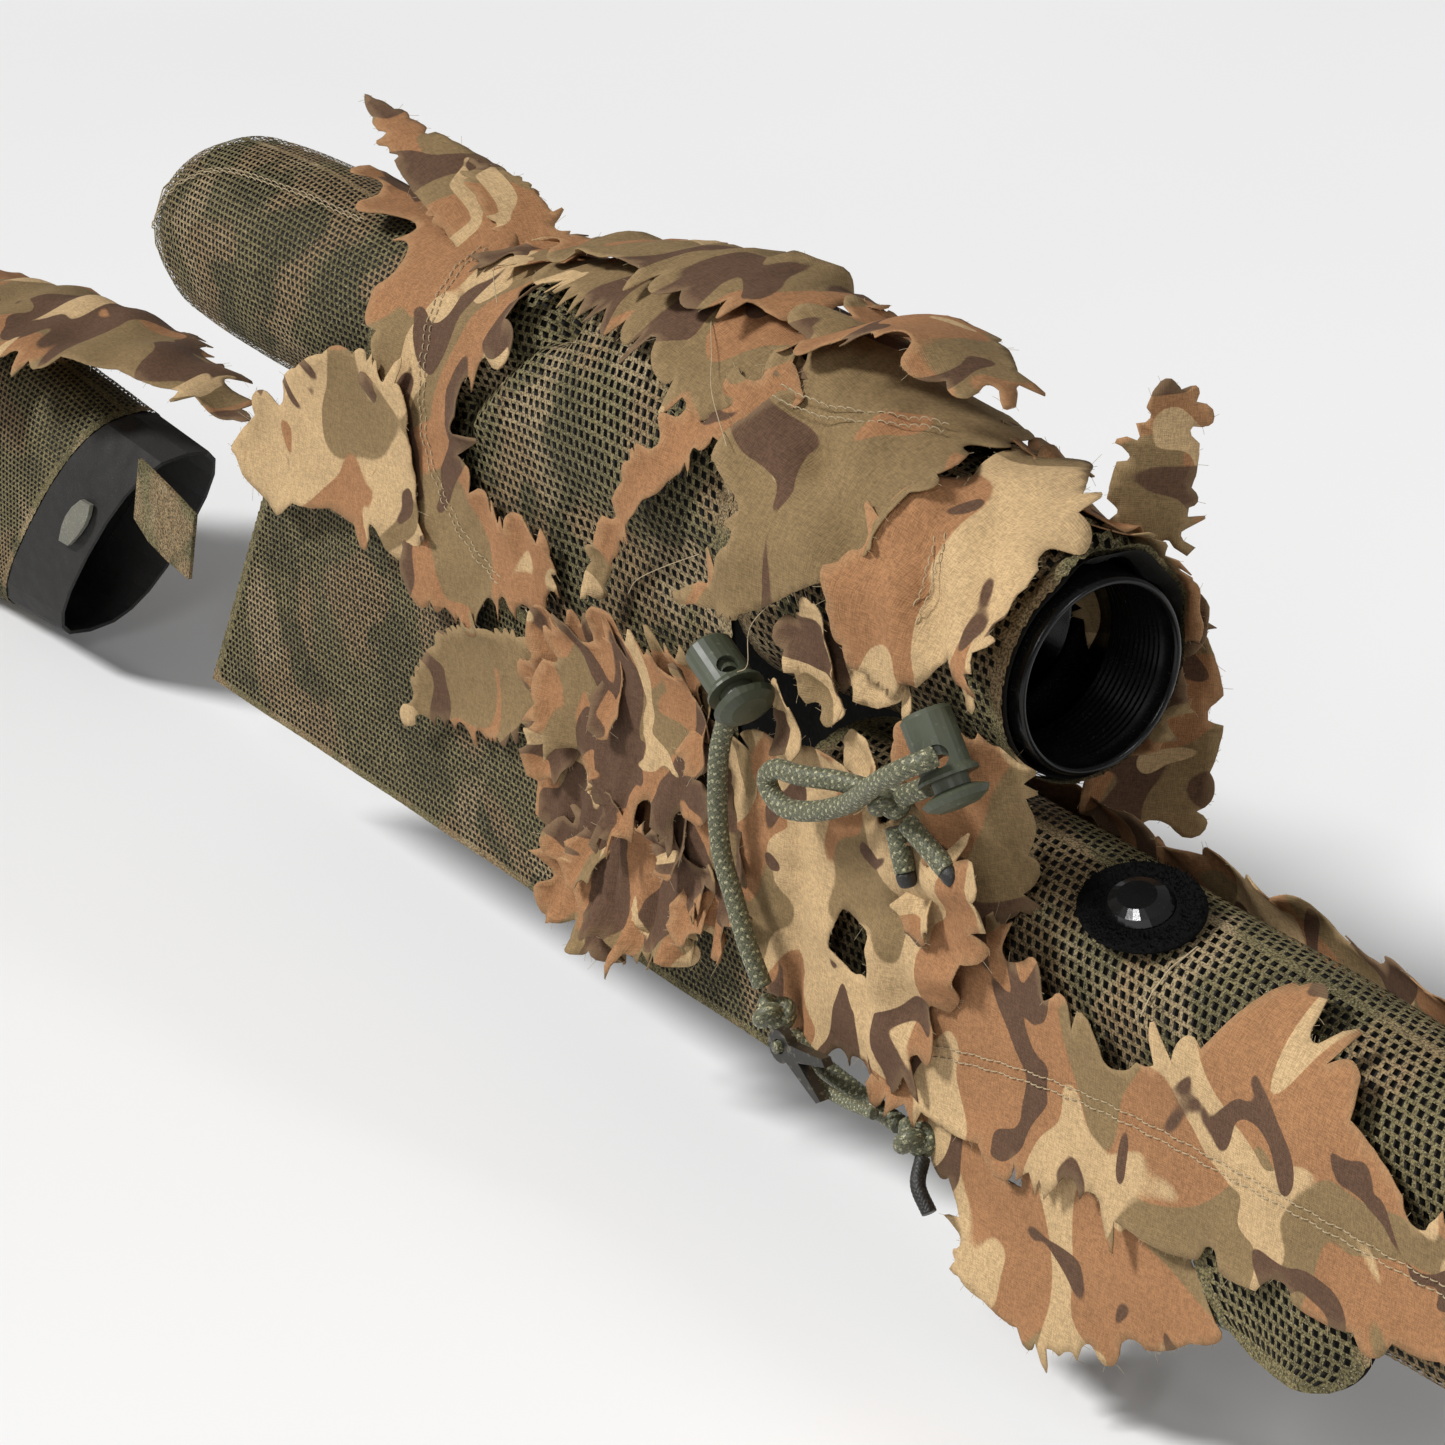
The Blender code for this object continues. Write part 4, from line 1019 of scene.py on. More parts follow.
def frame_matrix(origin, axis, wide):
    """Matrix whose Z lies along axis and whose X lies along wide."""
    z = Vector(axis).normalized()
    x = Vector(wide)
    x = (x - z * x.dot(z)).normalized()
    rotation = Matrix((x, z.cross(x), z)).transposed()
    return Matrix.Translation(Vector(origin)) @ rotation.to_4x4()


def rounded(corners, radius):
    """Open profile with its inner corners rounded."""
    corners = [np.asarray(c, float) for c in corners]
    result = [corners[0]]
    for before, corner, after in zip(corners, corners[1:], corners[2:]):
        start = corner + (before - corner) * min(radius / np.linalg.norm(before - corner), 0.45)
        end = corner + (after - corner) * min(radius / np.linalg.norm(after - corner), 0.45)
        for t in np.linspace(0, 1, ROUND_STEPS + 1):
            result.append((1 - t) ** 2 * start + 2 * t * (1 - t) * corner + t * t * end)
    result.append(corners[-1])
    return np.array(result)


# ---------- materials used by many pieces ----------

NET = net_fabric("olive_net")
# Near-black material of the sheets of painted shade behind the nets.
SHADE_SHEET = speckled("dark_lining", (0.006, 0.005, 0.003), (0.018, 0.014, 0.009), 0.95, scale=0.5, relief=0.4)
BRAID = braid_material("braided_cord")
THREAD = speckled("pale_thread", (0.42, 0.33, 0.2), (0.25, 0.18, 0.1), 0.8, scale=1.5)
OLIVE = speckled("olive_plastic", (0.062, 0.07, 0.043), (0.12, 0.125, 0.085), 0.45, scale=0.6, relief=0.05,
                 edge=0.68)
TUBE_BLACK = speckled("tube_black", (0.003, 0.003, 0.003), (0.012, 0.012, 0.011), 0.24, scale=1.5,
                      relief=0.02, specular=0.28)
BLACK_GLOSS = speckled("gloss_black", (0.006, 0.006, 0.006), (0.03, 0.03, 0.028), 0.16, scale=1.5,
                       relief=0.02, edge=0.7)
FELT = speckled("black_felt", (0.003, 0.003, 0.003), (0.014, 0.013, 0.012), 1.0, scale=2.5, relief=0.6,
                specular=0.08)
ELASTIC = speckled("black_elastic", (0.010, 0.009, 0.008), (0.03, 0.027, 0.022), 0.8, scale=1.8, relief=0.3)
WEBBING = speckled("grey_webbing", (0.15, 0.145, 0.115), (0.26, 0.25, 0.2), 0.8, scale=1.6, relief=0.3)
STEEL = speckled("dark_steel", (0.055, 0.053, 0.048), (0.16, 0.15, 0.12), 0.36, metallic=0.8, scale=0.5)
SPRING = speckled("spring_steel", (0.5, 0.5, 0.5), (0.35, 0.33, 0.3), 0.28, metallic=1.0, scale=0.9)
MELTED = speckled("melted_cord", (0.012, 0.011, 0.009), (0.05, 0.048, 0.035), 0.5, scale=1.2, relief=0.4)

RUST_MIX = camo_cloth("rust_camo", RUST, ((KHAKI, 0.58, 70), (CREAM, 0.63, 52), (UMBER, 0.60, 36)), 11)
KHAKI_MIX = camo_cloth("khaki_camo", KHAKI, ((CREAM, 0.63, 60), (RUST, 0.62, 48), (UMBER, 0.60, 36)), 47)
CREAM_MIX = camo_cloth("cream_camo", CREAM, ((KHAKI, 0.57, 60), (RUST, 0.58, 50), (UMBER, 0.60, 34)), 83)
BROWN_MIX = camo_cloth("brown_camo", KHAKI, ((RUST, 0.54, 60), (UMBER, 0.54, 46), (CREAM, 0.66, 40)), 131)
STRIP_MIX = camo_cloth("strip_camo", RUST, ((KHAKI, 0.56, 72), (CREAM, 0.58, 52), (UMBER, 0.63, 34)), 211)
BUSY_MIX = camo_cloth("busy_camo", RUST, ((KHAKI, 0.54, 46), (UMBER, 0.53, 38), (CREAM, 0.65, 32)), 171)


# ---------- camera, floor and light ----------

def build_stage():
    """Camera, a pale floor and soft light."""
    azimuth, elevation = math.radians(VIEW_AZIMUTH), math.radians(VIEW_ELEVATION)
    back = Vector((math.sin(azimuth) * math.cos(elevation), -math.cos(azimuth) * math.cos(elevation),
                   math.sin(elevation)))
    camera = linked("camera", bpy.data.cameras.new("camera"))
    camera.data.sensor_width = SENSOR_WIDTH
    camera.data.lens = SENSOR_WIDTH / 2 / math.tan(math.radians(VIEW_ANGLE / 2))
    camera.location = (Vector(VIEW_TARGET) + back * VIEW_DISTANCE) * MM
    camera.rotation_euler = back.to_track_quat("Z", "Y").to_euler()
    bpy.context.scene.camera = camera

    low = CAD_BOX[0][2] / MM - FLOOR_GAP
    half = FLOOR_SIZE / 2
    material, tree, shader = new_material("pale_floor", roughness=0.9, specular=0.0)
    place = add_node(tree, "TexCoord").outputs["Object"]
    color = tone(tree, FLOOR_GREY, noise_value(tree, place, 3.0), 0.98, 1.02)
    tree.links.new(color, shader.inputs["Base Color"])
    mesh = bpy.data.meshes.new("floor")
    corners = [(-half, -half, low), (half, -half, low), (half, half, low), (-half, half, low)]
    mesh.from_pydata([[value * MM for value in corner] for corner in corners], [], [(0, 1, 2, 3)])
    mesh.materials.append(material)
    floor = linked("floor", mesh)

    world = bpy.data.worlds.new("studio")
    world.use_nodes = True
    world.node_tree.nodes["Background"].inputs[0].default_value = (1, 1, 1, 1)
    world.node_tree.nodes["Background"].inputs[1].default_value = SKY_STRENGTH
    bpy.context.scene.world = world
    add_sun("key", KEY_DIRECTION, KEY_STRENGTH, KEY_SOFTNESS)
    add_strip("strip_high", (900, -1100, 900), 500, 120, STRIP_POWER)
    add_strip("strip_side", (1500, 300, 700), 700, 90, STRIP_POWER)
    bpy.context.scene.view_settings.view_transform = "Standard"


def add_sun(name, direction, strength, softness):
    """Even light from far away in a direction."""
    light = bpy.data.lights.new(name, "SUN")
    light.energy = strength
    light.angle = math.radians(softness)
    item = linked(name, light)
    item.rotation_euler = Vector(direction).to_track_quat("Z", "Y").to_euler()


def add_strip(name, place, length, width, power):
    """Long soft box that points at the middle of the cover."""
    light = bpy.data.lights.new(name, "AREA")
    light.shape = "RECTANGLE"
    light.size = width * MM
    light.size_y = length * MM
    light.energy = power
    item = linked(name, light)
    item.location = Vector(place) * MM
    item.rotation_euler = (Vector(place) - Vector(STRIP_TARGET)).to_track_quat("Z", "Y").to_euler()


# ---------- cords ----------

LOCK_A = ((89, -55, -32), (0.92, -0.12, -0.36), (0.24, 0.96, 0.15))
LOCK_B = ((188, -52, -26), (0.62, -0.02, -0.78), (0.50, 0.70, 0.50))
HEAD_MIDDLE = 28.0
CORD_HOLE_HEIGHT = 14.5
BUTTON_TILT = math.radians(24)
SPRING_RADIUS = 3.4
SPRING_WIRE = 0.8
SPRING_TURNS = 3
SPRING_LOW = 2.6
SPRING_HIGH = 8.9
FELT_LONG = 1.35
FELT_FIBRES = 1400
FIBRE_DIAMETER = 0.22
LOOSE_THREAD_DIAMETER = 0.3


def lock_matrix(lock):
    """Place of a cord lock, whose axis is Z and whose cord hole runs along Y."""
    head, axis, wide = lock
    return frame_matrix(Vector(head) - Vector(axis).normalized() * HEAD_MIDDLE, axis, wide)


def cord_mouth(lock, reach):
    """Place just outside a cord lock's hole."""
    return tuple(lock_matrix(lock) @ Vector((0, reach, CORD_HOLE_HEIGHT)))


def declare_cord(line):
    """Takes every fourth point of a cord's line and its last point; nothing is done with them."""
    points = line[::4]
    if not np.allclose(points[-1], line[-1]):
        points = np.vstack([points, line[-1:]])


def build_cords():
    """Drawcords, their knots and their cut ends."""
    route = [cord_mouth(LOCK_A, -7), (72.9, -50.4, -40.5), (69, -51, -56), (68, -51, -73), (70, -51, -90),
             (77, -51, -104), (83, -50.5, -117), (88, -48, -131)]
    main, line = braided_tube("drawcord", route, CORD_DIAMETER, ["main_cord"])
    corner_knot = knot("corner_knot", (91, -45.5, -140.5), 4.6, 6.0)
    declare_cord(line)

    route = [(97, -43, -146.5), (108, -41, -152), (124, -40.5, -154), (139, -40.5, -155),
             (149.5, -40.5, -155.5)]
    hem, line = braided_tube("hem_drawcord", route, CORD_DIAMETER, ["hem_cord"])
    hem_knot = knot("hem_knot", (157.5, -40.5, -156.5), 4.8, 6.0)
    tip, _ = braided_tube("hem_frayed_tip", [(163, -42, -161), (168, -47.5, -166), (175, -48.5, -172)], 5.0,
                          ["hem_cord_tip"], material=MELTED)
    declare_cord(line)

    route = [(106, -56.5, -143), (106, -53, -143), (106.3, -49, -144), (109, -47.8, -149.5),
             (116, -47.8, -153.5), (130, -47.8, -153.5), (146, -47.8, -151)]
    thin, line = braided_tube("keeper_cord", route, THIN_CORD_DIAMETER, ["hook_cord"])
    declare_cord(line)
    build_loop_cord()
    route = [(262, -32.5, -153), (280, -32.5, -156), (300, -32, -155), (320, -31.4, -152), (338, -30.8, -150)]
    forend, line = braided_tube("forend_drawcord", route, CORD_DIAMETER, ["forend_cord"])
    declare_cord(line)


def build_loop_cord():
    """Doubled loop through the second cord lock, with a tie and two cut ends."""
    route = [cord_mouth(LOCK_B, 9.2), (183.6, -61.4, -12.4), (180.4, -63.8, -14.6), (175, -64.6, -18.5),
             (166, -63.2, -25), (156, -60.6, -33), (143, -57.5, -43), (129, -57, -51), (114, -57, -56.5),
             (105.5, -57, -55.5), (102.2, -57, -50.5), (107, -57, -45.6), (118, -56.5, -43.6),
             (132, -53, -41), (145.5, -50.5, -39.5)]
    loop, line = braided_tube("loop_drawcord", route, CORD_DIAMETER, ["loop_cord"])
    tie = knot("tie_knot", (152.8, -49.5, -40.5), 4.2, 5.8)
    back, _ = braided_tube("loop_return", [(160, -50, -36), (166, -50, -32), (171.5, -49.5, -28.5)],
                           CORD_DIAMETER, ["loop_cord_back"])
    first, _ = braided_tube("cut_end_1", [(155.4, -49, -48.4), (158, -49, -55), (160.5, -49, -61)],
                            CORD_DIAMETER, ["loop_tail_1"])
    second, _ = braided_tube("cut_end_2", [(160.4, -48.5, -45.2), (170, -48.5, -49), (179, -48, -53.5)],
                             CORD_DIAMETER, ["loop_tail_2"])
    tips = [melted_tip("melted_tip_1", (160.5, -49, -61), (162.4, -49, -65.6), "loop_tip_1"),
            melted_tip("melted_tip_2", (179, -48, -53.5), (183.4, -48, -55.8), "loop_tip_2")]
    declare_cord(line)


def melted_tip(name, start, end, node):
    """Uneven blob where a cord end was cut hot."""
    axis = Vector(end) - Vector(start)
    length = axis.length
    profile = rounded([(0.01, 0), (2.9, 0), (3.2, length * 0.4), (2.7, length * 0.85), (1.6, length),
                       (0.01, length)], radius=1.0)
    place = frame_matrix(start, axis, (0, 1, 0.3))
    return turned(name, profile, place, MELTED, [node], sides=28)


# ---------- nets ----------

PANEL_REAR, PANEL_FRONT = -289, 76
BOLT_CUT_LENGTH = 60
FLAP_MIDDLE = 318


def build_nets():
    """Every sheet of net."""
    net("sock_net_right", "rear_sock", sight_profile, (-336.8, -160), (0, 2), seed=3, folds=sock_folds)
    net("sock_net_left", None, sight_profile, (-336.8, -160), (-2, 0), seed=4, folds=sock_folds)
    net("saddle_net_right", "scope_saddle", cover_profile, (-160, 60), (0, 2.02), mesh_size=LOOSE_MESH,
        seed=5, folds=saddle_folds)
    net("saddle_net_left", None, cover_profile, (-160, 60), (-2.02, 0), mesh_size=LOOSE_MESH, seed=6)
    net("hood_net_right", "front_hood", sight_profile, (60, 186), (0, 2), mesh_size=LOOSE_MESH, seed=7,
        folds=hood_folds)
    net("hood_net_left", None, sight_profile, (60, 186), (-2, 0), mesh_size=LOOSE_MESH, seed=8,
        folds=hood_folds)
    net("side_net_right", "side_panel_right", cover_profile, (PANEL_REAR, PANEL_FRONT), (2.0, 3.0), seed=9,
        edge=bolt_cut)
    net("side_net_left", "side_panel_left", cover_profile, (PANEL_REAR, PANEL_FRONT), (-3.0, -2.0), seed=10)
    net("bridge_net", "receiver_bridge", rear_profile, (-258, -162), (-0.98, 0.98), seed=11)
    net("forend_net_right", "forend_sleeve_right", sleeve_profile, (74, 430), (0.0, 3.0),
        mesh_size=LOOSE_MESH, seed=12)
    net("forend_net_left", "forend_sleeve_left", sleeve_profile, (74, 430), (-3.0, 0.0), mesh_size=LOOSE_MESH,
        seed=13)
    net("flap_net", None, flap_profile, (280, 352), (1.0, 2.0), mesh_size=LOOSE_MESH, seed=16, edge=flap_edge)
    net("stock_net_right", "stock_sleeve", stock_profile, (STOCK_REAR, STOCK_FRONT), (0, 2), seed=14)
    net("stock_net_left", None, stock_profile, (STOCK_REAR, STOCK_FRONT), (-2, 0), seed=15)


def flap_edge(x, u):
    """Draws the flap's lower end in to a rounded tongue."""
    width = np.sqrt(np.clip(1.06 - np.abs(u - 1) ** 2.5, 0.06, 1))
    return FLAP_MIDDLE + (x - FLAP_MIDDLE) * width


def build_net_seams():
    """Pale thread sewn through the nets."""
    routes = [(sight_profile, [(-322, 0.95), (-290, 0.42), (-240, 0.3), (-196, 0.24)]),
              (sight_profile, [(-328, 0.2), (-326, 0.9), (-322, 1.5), (-318, 1.95)]),
              (sleeve_profile, [(250, 0.29), (249, 0.5), (247, 0.83)]),
              (cover_profile, [(-120, 0.42), (-108, 0.9), (-106, 1.5)])]
    rows = []
    for profile, places in routes:
        for shift in (-0.012, 0.012):
            line = spline(places, 1.1)
            dip = np.choose(np.arange(len(line)) % 4, NET_STITCH_DIPS)
            rows.append(on_surface(profile, line[:, 0], line[:, 1] + shift, 0.9 + dip))
    thread_piece("net_seams", rows)
    loose = [[(8, -8, 62), (22, -20, 66), (36, -30, 61), (50, -40, 55), (66, -46, 44)],
             [(-96, -20, 52), (-84, -32, 56), (-70, -40, 50)],
             [(60, -52, 8), (50, -58, 2), (38, -60, -6), (30, -58, -14)],
             [(96, -48, 6), (92, -56, -4), (96, -60, -14), (88, -58, -20)]]
    thread_piece("loose_threads", [spline(line, 1.5) for line in loose], LOOSE_THREAD_DIAMETER)


def bolt_cut(x, u):
    """Slopes the rear edge of the side panel forward towards the top, where the bolt sits."""
    return x + BOLT_CUT_LENGTH * (PANEL_FRONT - x) / (PANEL_FRONT - PANEL_REAR) * (3 - np.abs(u))


def sock_folds(x, u):
    """The sock is drawn in a little where the collar garland is sewn."""
    return -1.5 * np.exp(-((x + 160) / 14) ** 2)


def saddle_folds(x, u):
    """Creases where the net sags between the sight and the collar."""
    return crease_lift(x, u, 60, [(-66, 0.05, -50, 0.42, 8, -11), (-52, 0.4, -96, 0.95, 7, -6),
                                  (-36, 0.3, -84, 1.0, 6, 3), (-80, 0.25, -104, 0.8, 6, 2.5),
                                  (-20, 1.3, 40, 1.25, 12, -3), (-118, 0.4, -112, 1.5, 8, -2.5)])


def hood_folds(x, u):
    """Rolls of net bunched behind the tube's rim."""
    bunch = np.clip((x - 118) / 30, 0, 1)
    over = np.exp(-((u + 0.3) / 0.62) ** 4)
    rolls = 2.4 + 2.4 * np.sin(x * 0.62 + 1.2 * np.sin(u * 5))
    return bunch * (1.2 + over * (rolls + 1.1 * np.sin(u * 15 + x * 0.1)))


# ---------- cloth ----------

def build_cloth():
    """Every garland and leaf."""
    build_collar()
    build_crown()
    build_hood_cloth()
    build_side_cloth()
    build_forend_cloth()
    build_stock_cloth()
    build_far_side_cloth()


def build_collar():
    """Collar garland between sock and saddle, the corner behind it and the leaf that stands on it."""
    seam = [(-150, -1.9), (-140, -0.5), (-135, 0.0), (-120, 0.8), (-115, 1.3), (-90, 1.7), (-50, 1.9)]
    collar = surface_leaf(cover_profile, [
        (-150, -1.9), (-180, -0.5), (-215, 0.05), (-160, 0.3), (-160, 0.6), (-140, 0.8), (-150, 1.5),
        (-130, 2.05), (-90, 2.1), (-40, 1.85), (-35, 1.45), (-80, 1.5), (-100, 1.1), (-70, 0.6),
        (-90, 0.1), (-130, -1.9)],
        seam, lift=2, height=9, fold=34, seed=21, cut=1.1, calm=0.1)
    cloth_piece("collar_garland", [collar], RUST_MIX, print_seed="collar")
    seam_stitches("collar_stitches", cover_profile, seam, 2.0, 21)
    corner = surface_leaf(cover_profile, [
        (-125, 0.95), (-170, 0.95), (-205, 1.3), (-240, 1.9), (-215, 2.1), (-190, 1.9), (-140, 1.95),
        (-115, 2.05)],
        [(-120, 0.95), (-118, 1.5), (-116, 2.0)], lift=4.5, height=4, fold=60, curl=3, seed=31,
        cut=0.8, calm=0.45)
    cloth_piece("rear_corner_leaf", [corner], CREAM_MIX, print_seed="corner")
    upright = free_leaf([(-128, 4, 44), (-158, 4, 60), (-184, 3, 66), (-224, 2, 79)], (0.2, 0.75, 0.3),
                        [(-5, -15), (5, 20), (35, 15), (70, 8), (102, 1), (70, -8), (35, -15)],
                        cup=4, ripple=2.5, seed=32, cut=0.4, calm=0.9)
    second = free_leaf([(-120, 10, 44), (-140, 10, 58), (-165, 9, 68)], (0.5, 0.7, 0.1),
                       [(0, -12), (0, 15), (30, 10), (50, 0), (25, -10)], cup=-3, seed=52, cut=0.5, calm=0.6)
    cloth_piece("upright_leaf_rear", [upright, second], BUSY_MIX)


def build_crown():
    """Strips along the top of the saddle."""
    seam = [(-130, -0.05), (-40, 0.05), (0, 0.1), (50, 0.05)]
    top = surface_leaf(cover_profile, [
        (-125, 0.2), (-130, -0.3), (-50, -0.6), (60, -0.5), (60, 0.3), (45, 0.6), (10, 0.4), (-40, 0.35),
        (-85, 0.15)], seam, lift=3, height=11, fold=36, curl=3, seed=22, cut=1.0, calm=0.15)
    over = surface_leaf(cover_profile, [
        (-110, 0.05), (-60, -0.45), (0, -0.3), (50, -0.3), (45, 0.1), (10, 0.25), (-50, 0.15)],
        seam, lift=8, height=10, fold=30, curl=4, seed=62, cut=0.9, calm=0.15)
    cloth_piece("top_garland", [top, over], BROWN_MIX)
    band = surface_leaf(cover_profile, [
        (-10, 1.55), (5, 1.1), (35, 0.6), (60, 0.2), (75, 0.3), (45, 0.75), (10, 1.2), (0, 1.5)],
        [(-5, 1.5), (15, 1.05), (40, 0.6), (65, 0.25)], lift=5, height=5, fold=80, curl=4, seed=24, cut=0.5)
    cloth_piece("band_leaf_right", [band], RUST_MIX)
    seam = [(65, 0.35), (85, 0.3), (100, 0.2), (120, 0.0)]
    shoulder = surface_leaf(cover_profile, [
        (50, 0.05), (45, -0.4), (90, -0.5), (120, -0.4), (135, 0.25), (125, 0.75), (85, 1.1), (50, 1.2),
        (80, 0.9), (80, 0.7), (60, 0.65), (70, 0.3)],
        seam, lift=9, height=6, fold=70, curl=3, seed=23, cut=0.6, calm=0.7,
        creases=[(60, 0.2, 92, 0.45, 5, -4), (92, 0.45, 124, 0.66, 6, -4), (100, 0.2, 112, 0.8, 8, 3),
                 (74, 0.9, 112, 0.7, 7, 2.5)])
    cloth_piece("shoulder_leaf_right", [shoulder], KHAKI_MIX)
    seam_stitches("shoulder_stitches", cover_profile, seam, 11.5, 23)
    crown = free_leaf([(46, 8, 60), (62, 10, 70), (84, 12, 77), (104, 13, 78), (126, 12, 66)],
                      (0.1, 1, -0.15), [(0, -20), (0, 15), (35, 20), (65, 18), (90, 5), (80, -15), (45, -28)],
                      cup=-9, ripple=3.5, seed=33, cut=0.8, calm=0.2)
    cloth_piece("crown_leaf", [crown], RUST_MIX)


def build_hood_cloth():
    """Leaves draped over the front hood and the tube."""
    seam = [(130, 0.05), (140, 0.3), (150, 0.6), (150, 0.95)]
    drape = surface_leaf(cover_profile, [
        (140, 0.2), (120, 0.75), (130, 1.1), (155, 1.15), (170, 0.75), (185, 1.0), (190, 0.5), (180, 0.05),
        (150, -0.35), (120, -0.5)], seam, lift=5, height=15, fold=40, curl=3, seed=25, cut=0.7, calm=0.4,
        creases=[(134, 0.3, 150, 1.0, 6, 4), (150, 0.1, 176, 0.6, 6, -3), (140, 0.5, 170, 0.95, 5, -4)])
    lower = surface_leaf(cover_profile, [
        (105, 1.05), (110, 1.35), (135, 1.3), (155, 1.15), (140, 0.95)],
        [(110, 1.15), (140, 1.05)], lift=2, height=9, fold=30, curl=4, seed=26, cut=0.8, calm=0.2)
    bow = surface_leaf(cover_profile, [
        (105, 1.0), (115, 0.9), (130, 1.35), (120, 1.5), (110, 1.4), (100, 1.15)],
        [(110, 1.0), (120, 1.2), (120, 1.45)], lift=7, height=9, fold=26, curl=5, seed=27, cut=0.6)
    ring = side_layers(sight_profile, [(160, -0.25), (160, -0.9), (158, -1.6)], [22, 26, 24],
                       [30, 40, 44], 3, 13, 2, 42)
    cloth_piece("hood_garland_left", ring, RUST_MIX)
    cloth_piece("hood_garland_right", [drape, lower, bow], CREAM_MIX)
    seam_stitches("hood_stitches", cover_profile, seam, 5, 25)
    upright = free_leaf([(170, 27, 22), (172, 28, 46), (174, 29, 66), (175, 29, 84)], (0.59, 0.81, 0),
                        [(5, -5), (5, 15), (30, 15), (50, 15), (60, 3), (40, -8), (20, -10)],
                        cup=2, ripple=1.2, seed=40, cut=0.5, calm=0.4)
    cloth_piece("upright_leaf_front", [upright], RUST_MIX)
    build_tube_leaves()


def build_tube_leaves():
    """Leaf that hangs in front of the lower cord lock and leaf that hangs behind the tube's far side."""
    front = free_leaf([(170, -38, -14), (174, -41, -28), (178, -39, -46), (180, -35, -66)], (0.8, 0.55, 0.0),
                      [(0, -20), (0, 20), (25, 20), (60, 10), (60, -5), (30, -20)],
                      cup=-6, ripple=3.5, seed=28, cut=0.8, calm=0.2)
    cloth_piece("tube_leaf_front", [front], RUST_MIX, nodes=())
    beside_tube = free_leaf([(158, 34, 16), (162, 42, -6), (164, 44, -34), (162, 42, -72)], (0.59, 0.81, 0),
                            [(-5, -10), (10, 15), (50, 22), (90, 15), (90, -20), (45, -18), (15, -18)],
                            cup=4, ripple=3, seed=63, cut=0.7, calm=0.3)
    cloth_piece("tube_leaf_far", [beside_tube], BROWN_MIX, nodes=())


def build_side_cloth():
    """Ruffled leaves on the right side panel."""
    main = surface_leaf(cover_profile, [
        (-50, 1.95), (-10, 1.75), (50, 1.6), (70, 2.1), (65, 2.6), (20, 2.8), (-10, 2.95), (-45, 2.85),
        (-45, 2.4)], [(-40, 2.0), (0, 2.0), (65, 1.9)], lift=2.5, height=15, fold=24, curl=5, seed=29,
        cut=1.1, calm=0.1)
    over = surface_leaf(cover_profile, [
        (-35, 1.9), (0, 1.6), (50, 1.75), (50, 2.25), (0, 2.5), (-35, 2.2)],
        [(-30, 1.9), (5, 1.85), (50, 1.9)], lift=6, height=15, fold=21, curl=6, seed=30, cut=1.1, calm=0.1)
    low = surface_leaf(cover_profile, [
        (-30, 2.5), (10, 2.4), (55, 2.4), (40, 2.75), (0, 2.9), (-35, 2.7)],
        [(-25, 2.55), (10, 2.5), (55, 2.45)], lift=5, height=14, fold=22, curl=5, seed=64, cut=1.0, calm=0.1)
    tufts = scraps([
        (0, 1.8, 38, 26, 80, 12, 2), (45, 1.8, 34, 22, 60, 11, 4), (-25, 2.25, 34, 26, 130, 10, 6),
        (30, 2.25, 38, 26, 70, 12, 8), (-10, 2.5, 34, 24, 110, 11, 10), (45, 2.45, 34, 24, 90, 11, 9)])
    cloth_piece("side_garland_right", [main, over, low, *tufts], BUSY_MIX)
    rear = surface_leaf(cover_profile, [
        (-30, 2.2), (-75, 2.45), (-135, 2.6), (-120, 2.3), (-90, 2.1), (-30, 2.0)],
        [(-35, 2.05), (-60, 2.2), (-100, 2.35)], lift=2.2, height=5, fold=50, curl=2, seed=34,
        cut=0.6, calm=0.4)
    cloth_piece("rear_leaf_right", [rear], KHAKI_MIX)
    strip = surface_leaf(cover_profile, [
        (60, 2.0), (65, 2.6), (90, 2.85), (150, 2.8), (175, 2.4), (195, 1.9), (165, 1.8), (115, 1.7),
        (70, 1.85)],
        [(80, 1.9), (85, 2.3), (90, 2.7)], lift=3.5, height=9, fold=36, curl=3, seed=35, cut=0.9, calm=0.3,
        holes=[[(115, 2.45), (120, 2.3), (140, 2.3), (140, 2.45), (125, 2.5)]],
        creases=[(96, 1.9, 92, 2.8, 5, -3), (150, 1.9, 140, 2.7, 6, 3)])
    tufts = scraps([
        (85, 1.55, 34, 24, 20, 9, 12), (125, 1.55, 32, 24, 30, 9, 14), (160, 2.0, 32, 22, 80, 8, 16)])
    cloth_piece("side_strip_right", [strip, *tufts], CREAM_MIX)


def build_forend_cloth():
    """Long strip beside the fore-end and the leaf that hangs below it."""
    seam = [(145, 1.9), (165, 1.7), (240, 1.45), (355, 1.35), (425, 1.3)]
    strip = surface_leaf(apron_profile, [
        (140, 2.1), (160, 1.6), (175, 0.5), (200, 0.8), (225, 1.2), (280, 0.9), (290, 0.2), (330, 0.65),
        (360, 0.95), (400, 0.95), (430, 0.95), (430, 1.6), (350, 1.9), (285, 2.05), (160, 2.1)],
        seam, lift=5, height=3, fold=90, curl=2, seed=36, cut=1.0, calm=0.25)
    cloth_piece("forend_strip_right", [strip], STRIP_MIX, print_seed="forend")
    seam_stitches("forend_stitches", apron_profile, seam, 5, 36)
    leaf = surface_leaf(apron_profile, [
        (155, 1.9), (150, 2.25), (180, 2.45), (180, 2.9), (205, 3.0), (235, 3.0), (265, 2.7), (295, 2.4),
        (280, 2.2), (285, 1.8)],
        [(160, 1.85), (285, 1.8)], lift=0.6, height=1.5, fold=100, curl=1, seed=37, cut=0.7, calm=0.4,
        holes=[[(190, 2.05), (200, 2.05), (205, 2.25), (195, 2.25)]])
    cloth_piece("forend_leaf_right", [leaf], STRIP_MIX, print_seed="forend")


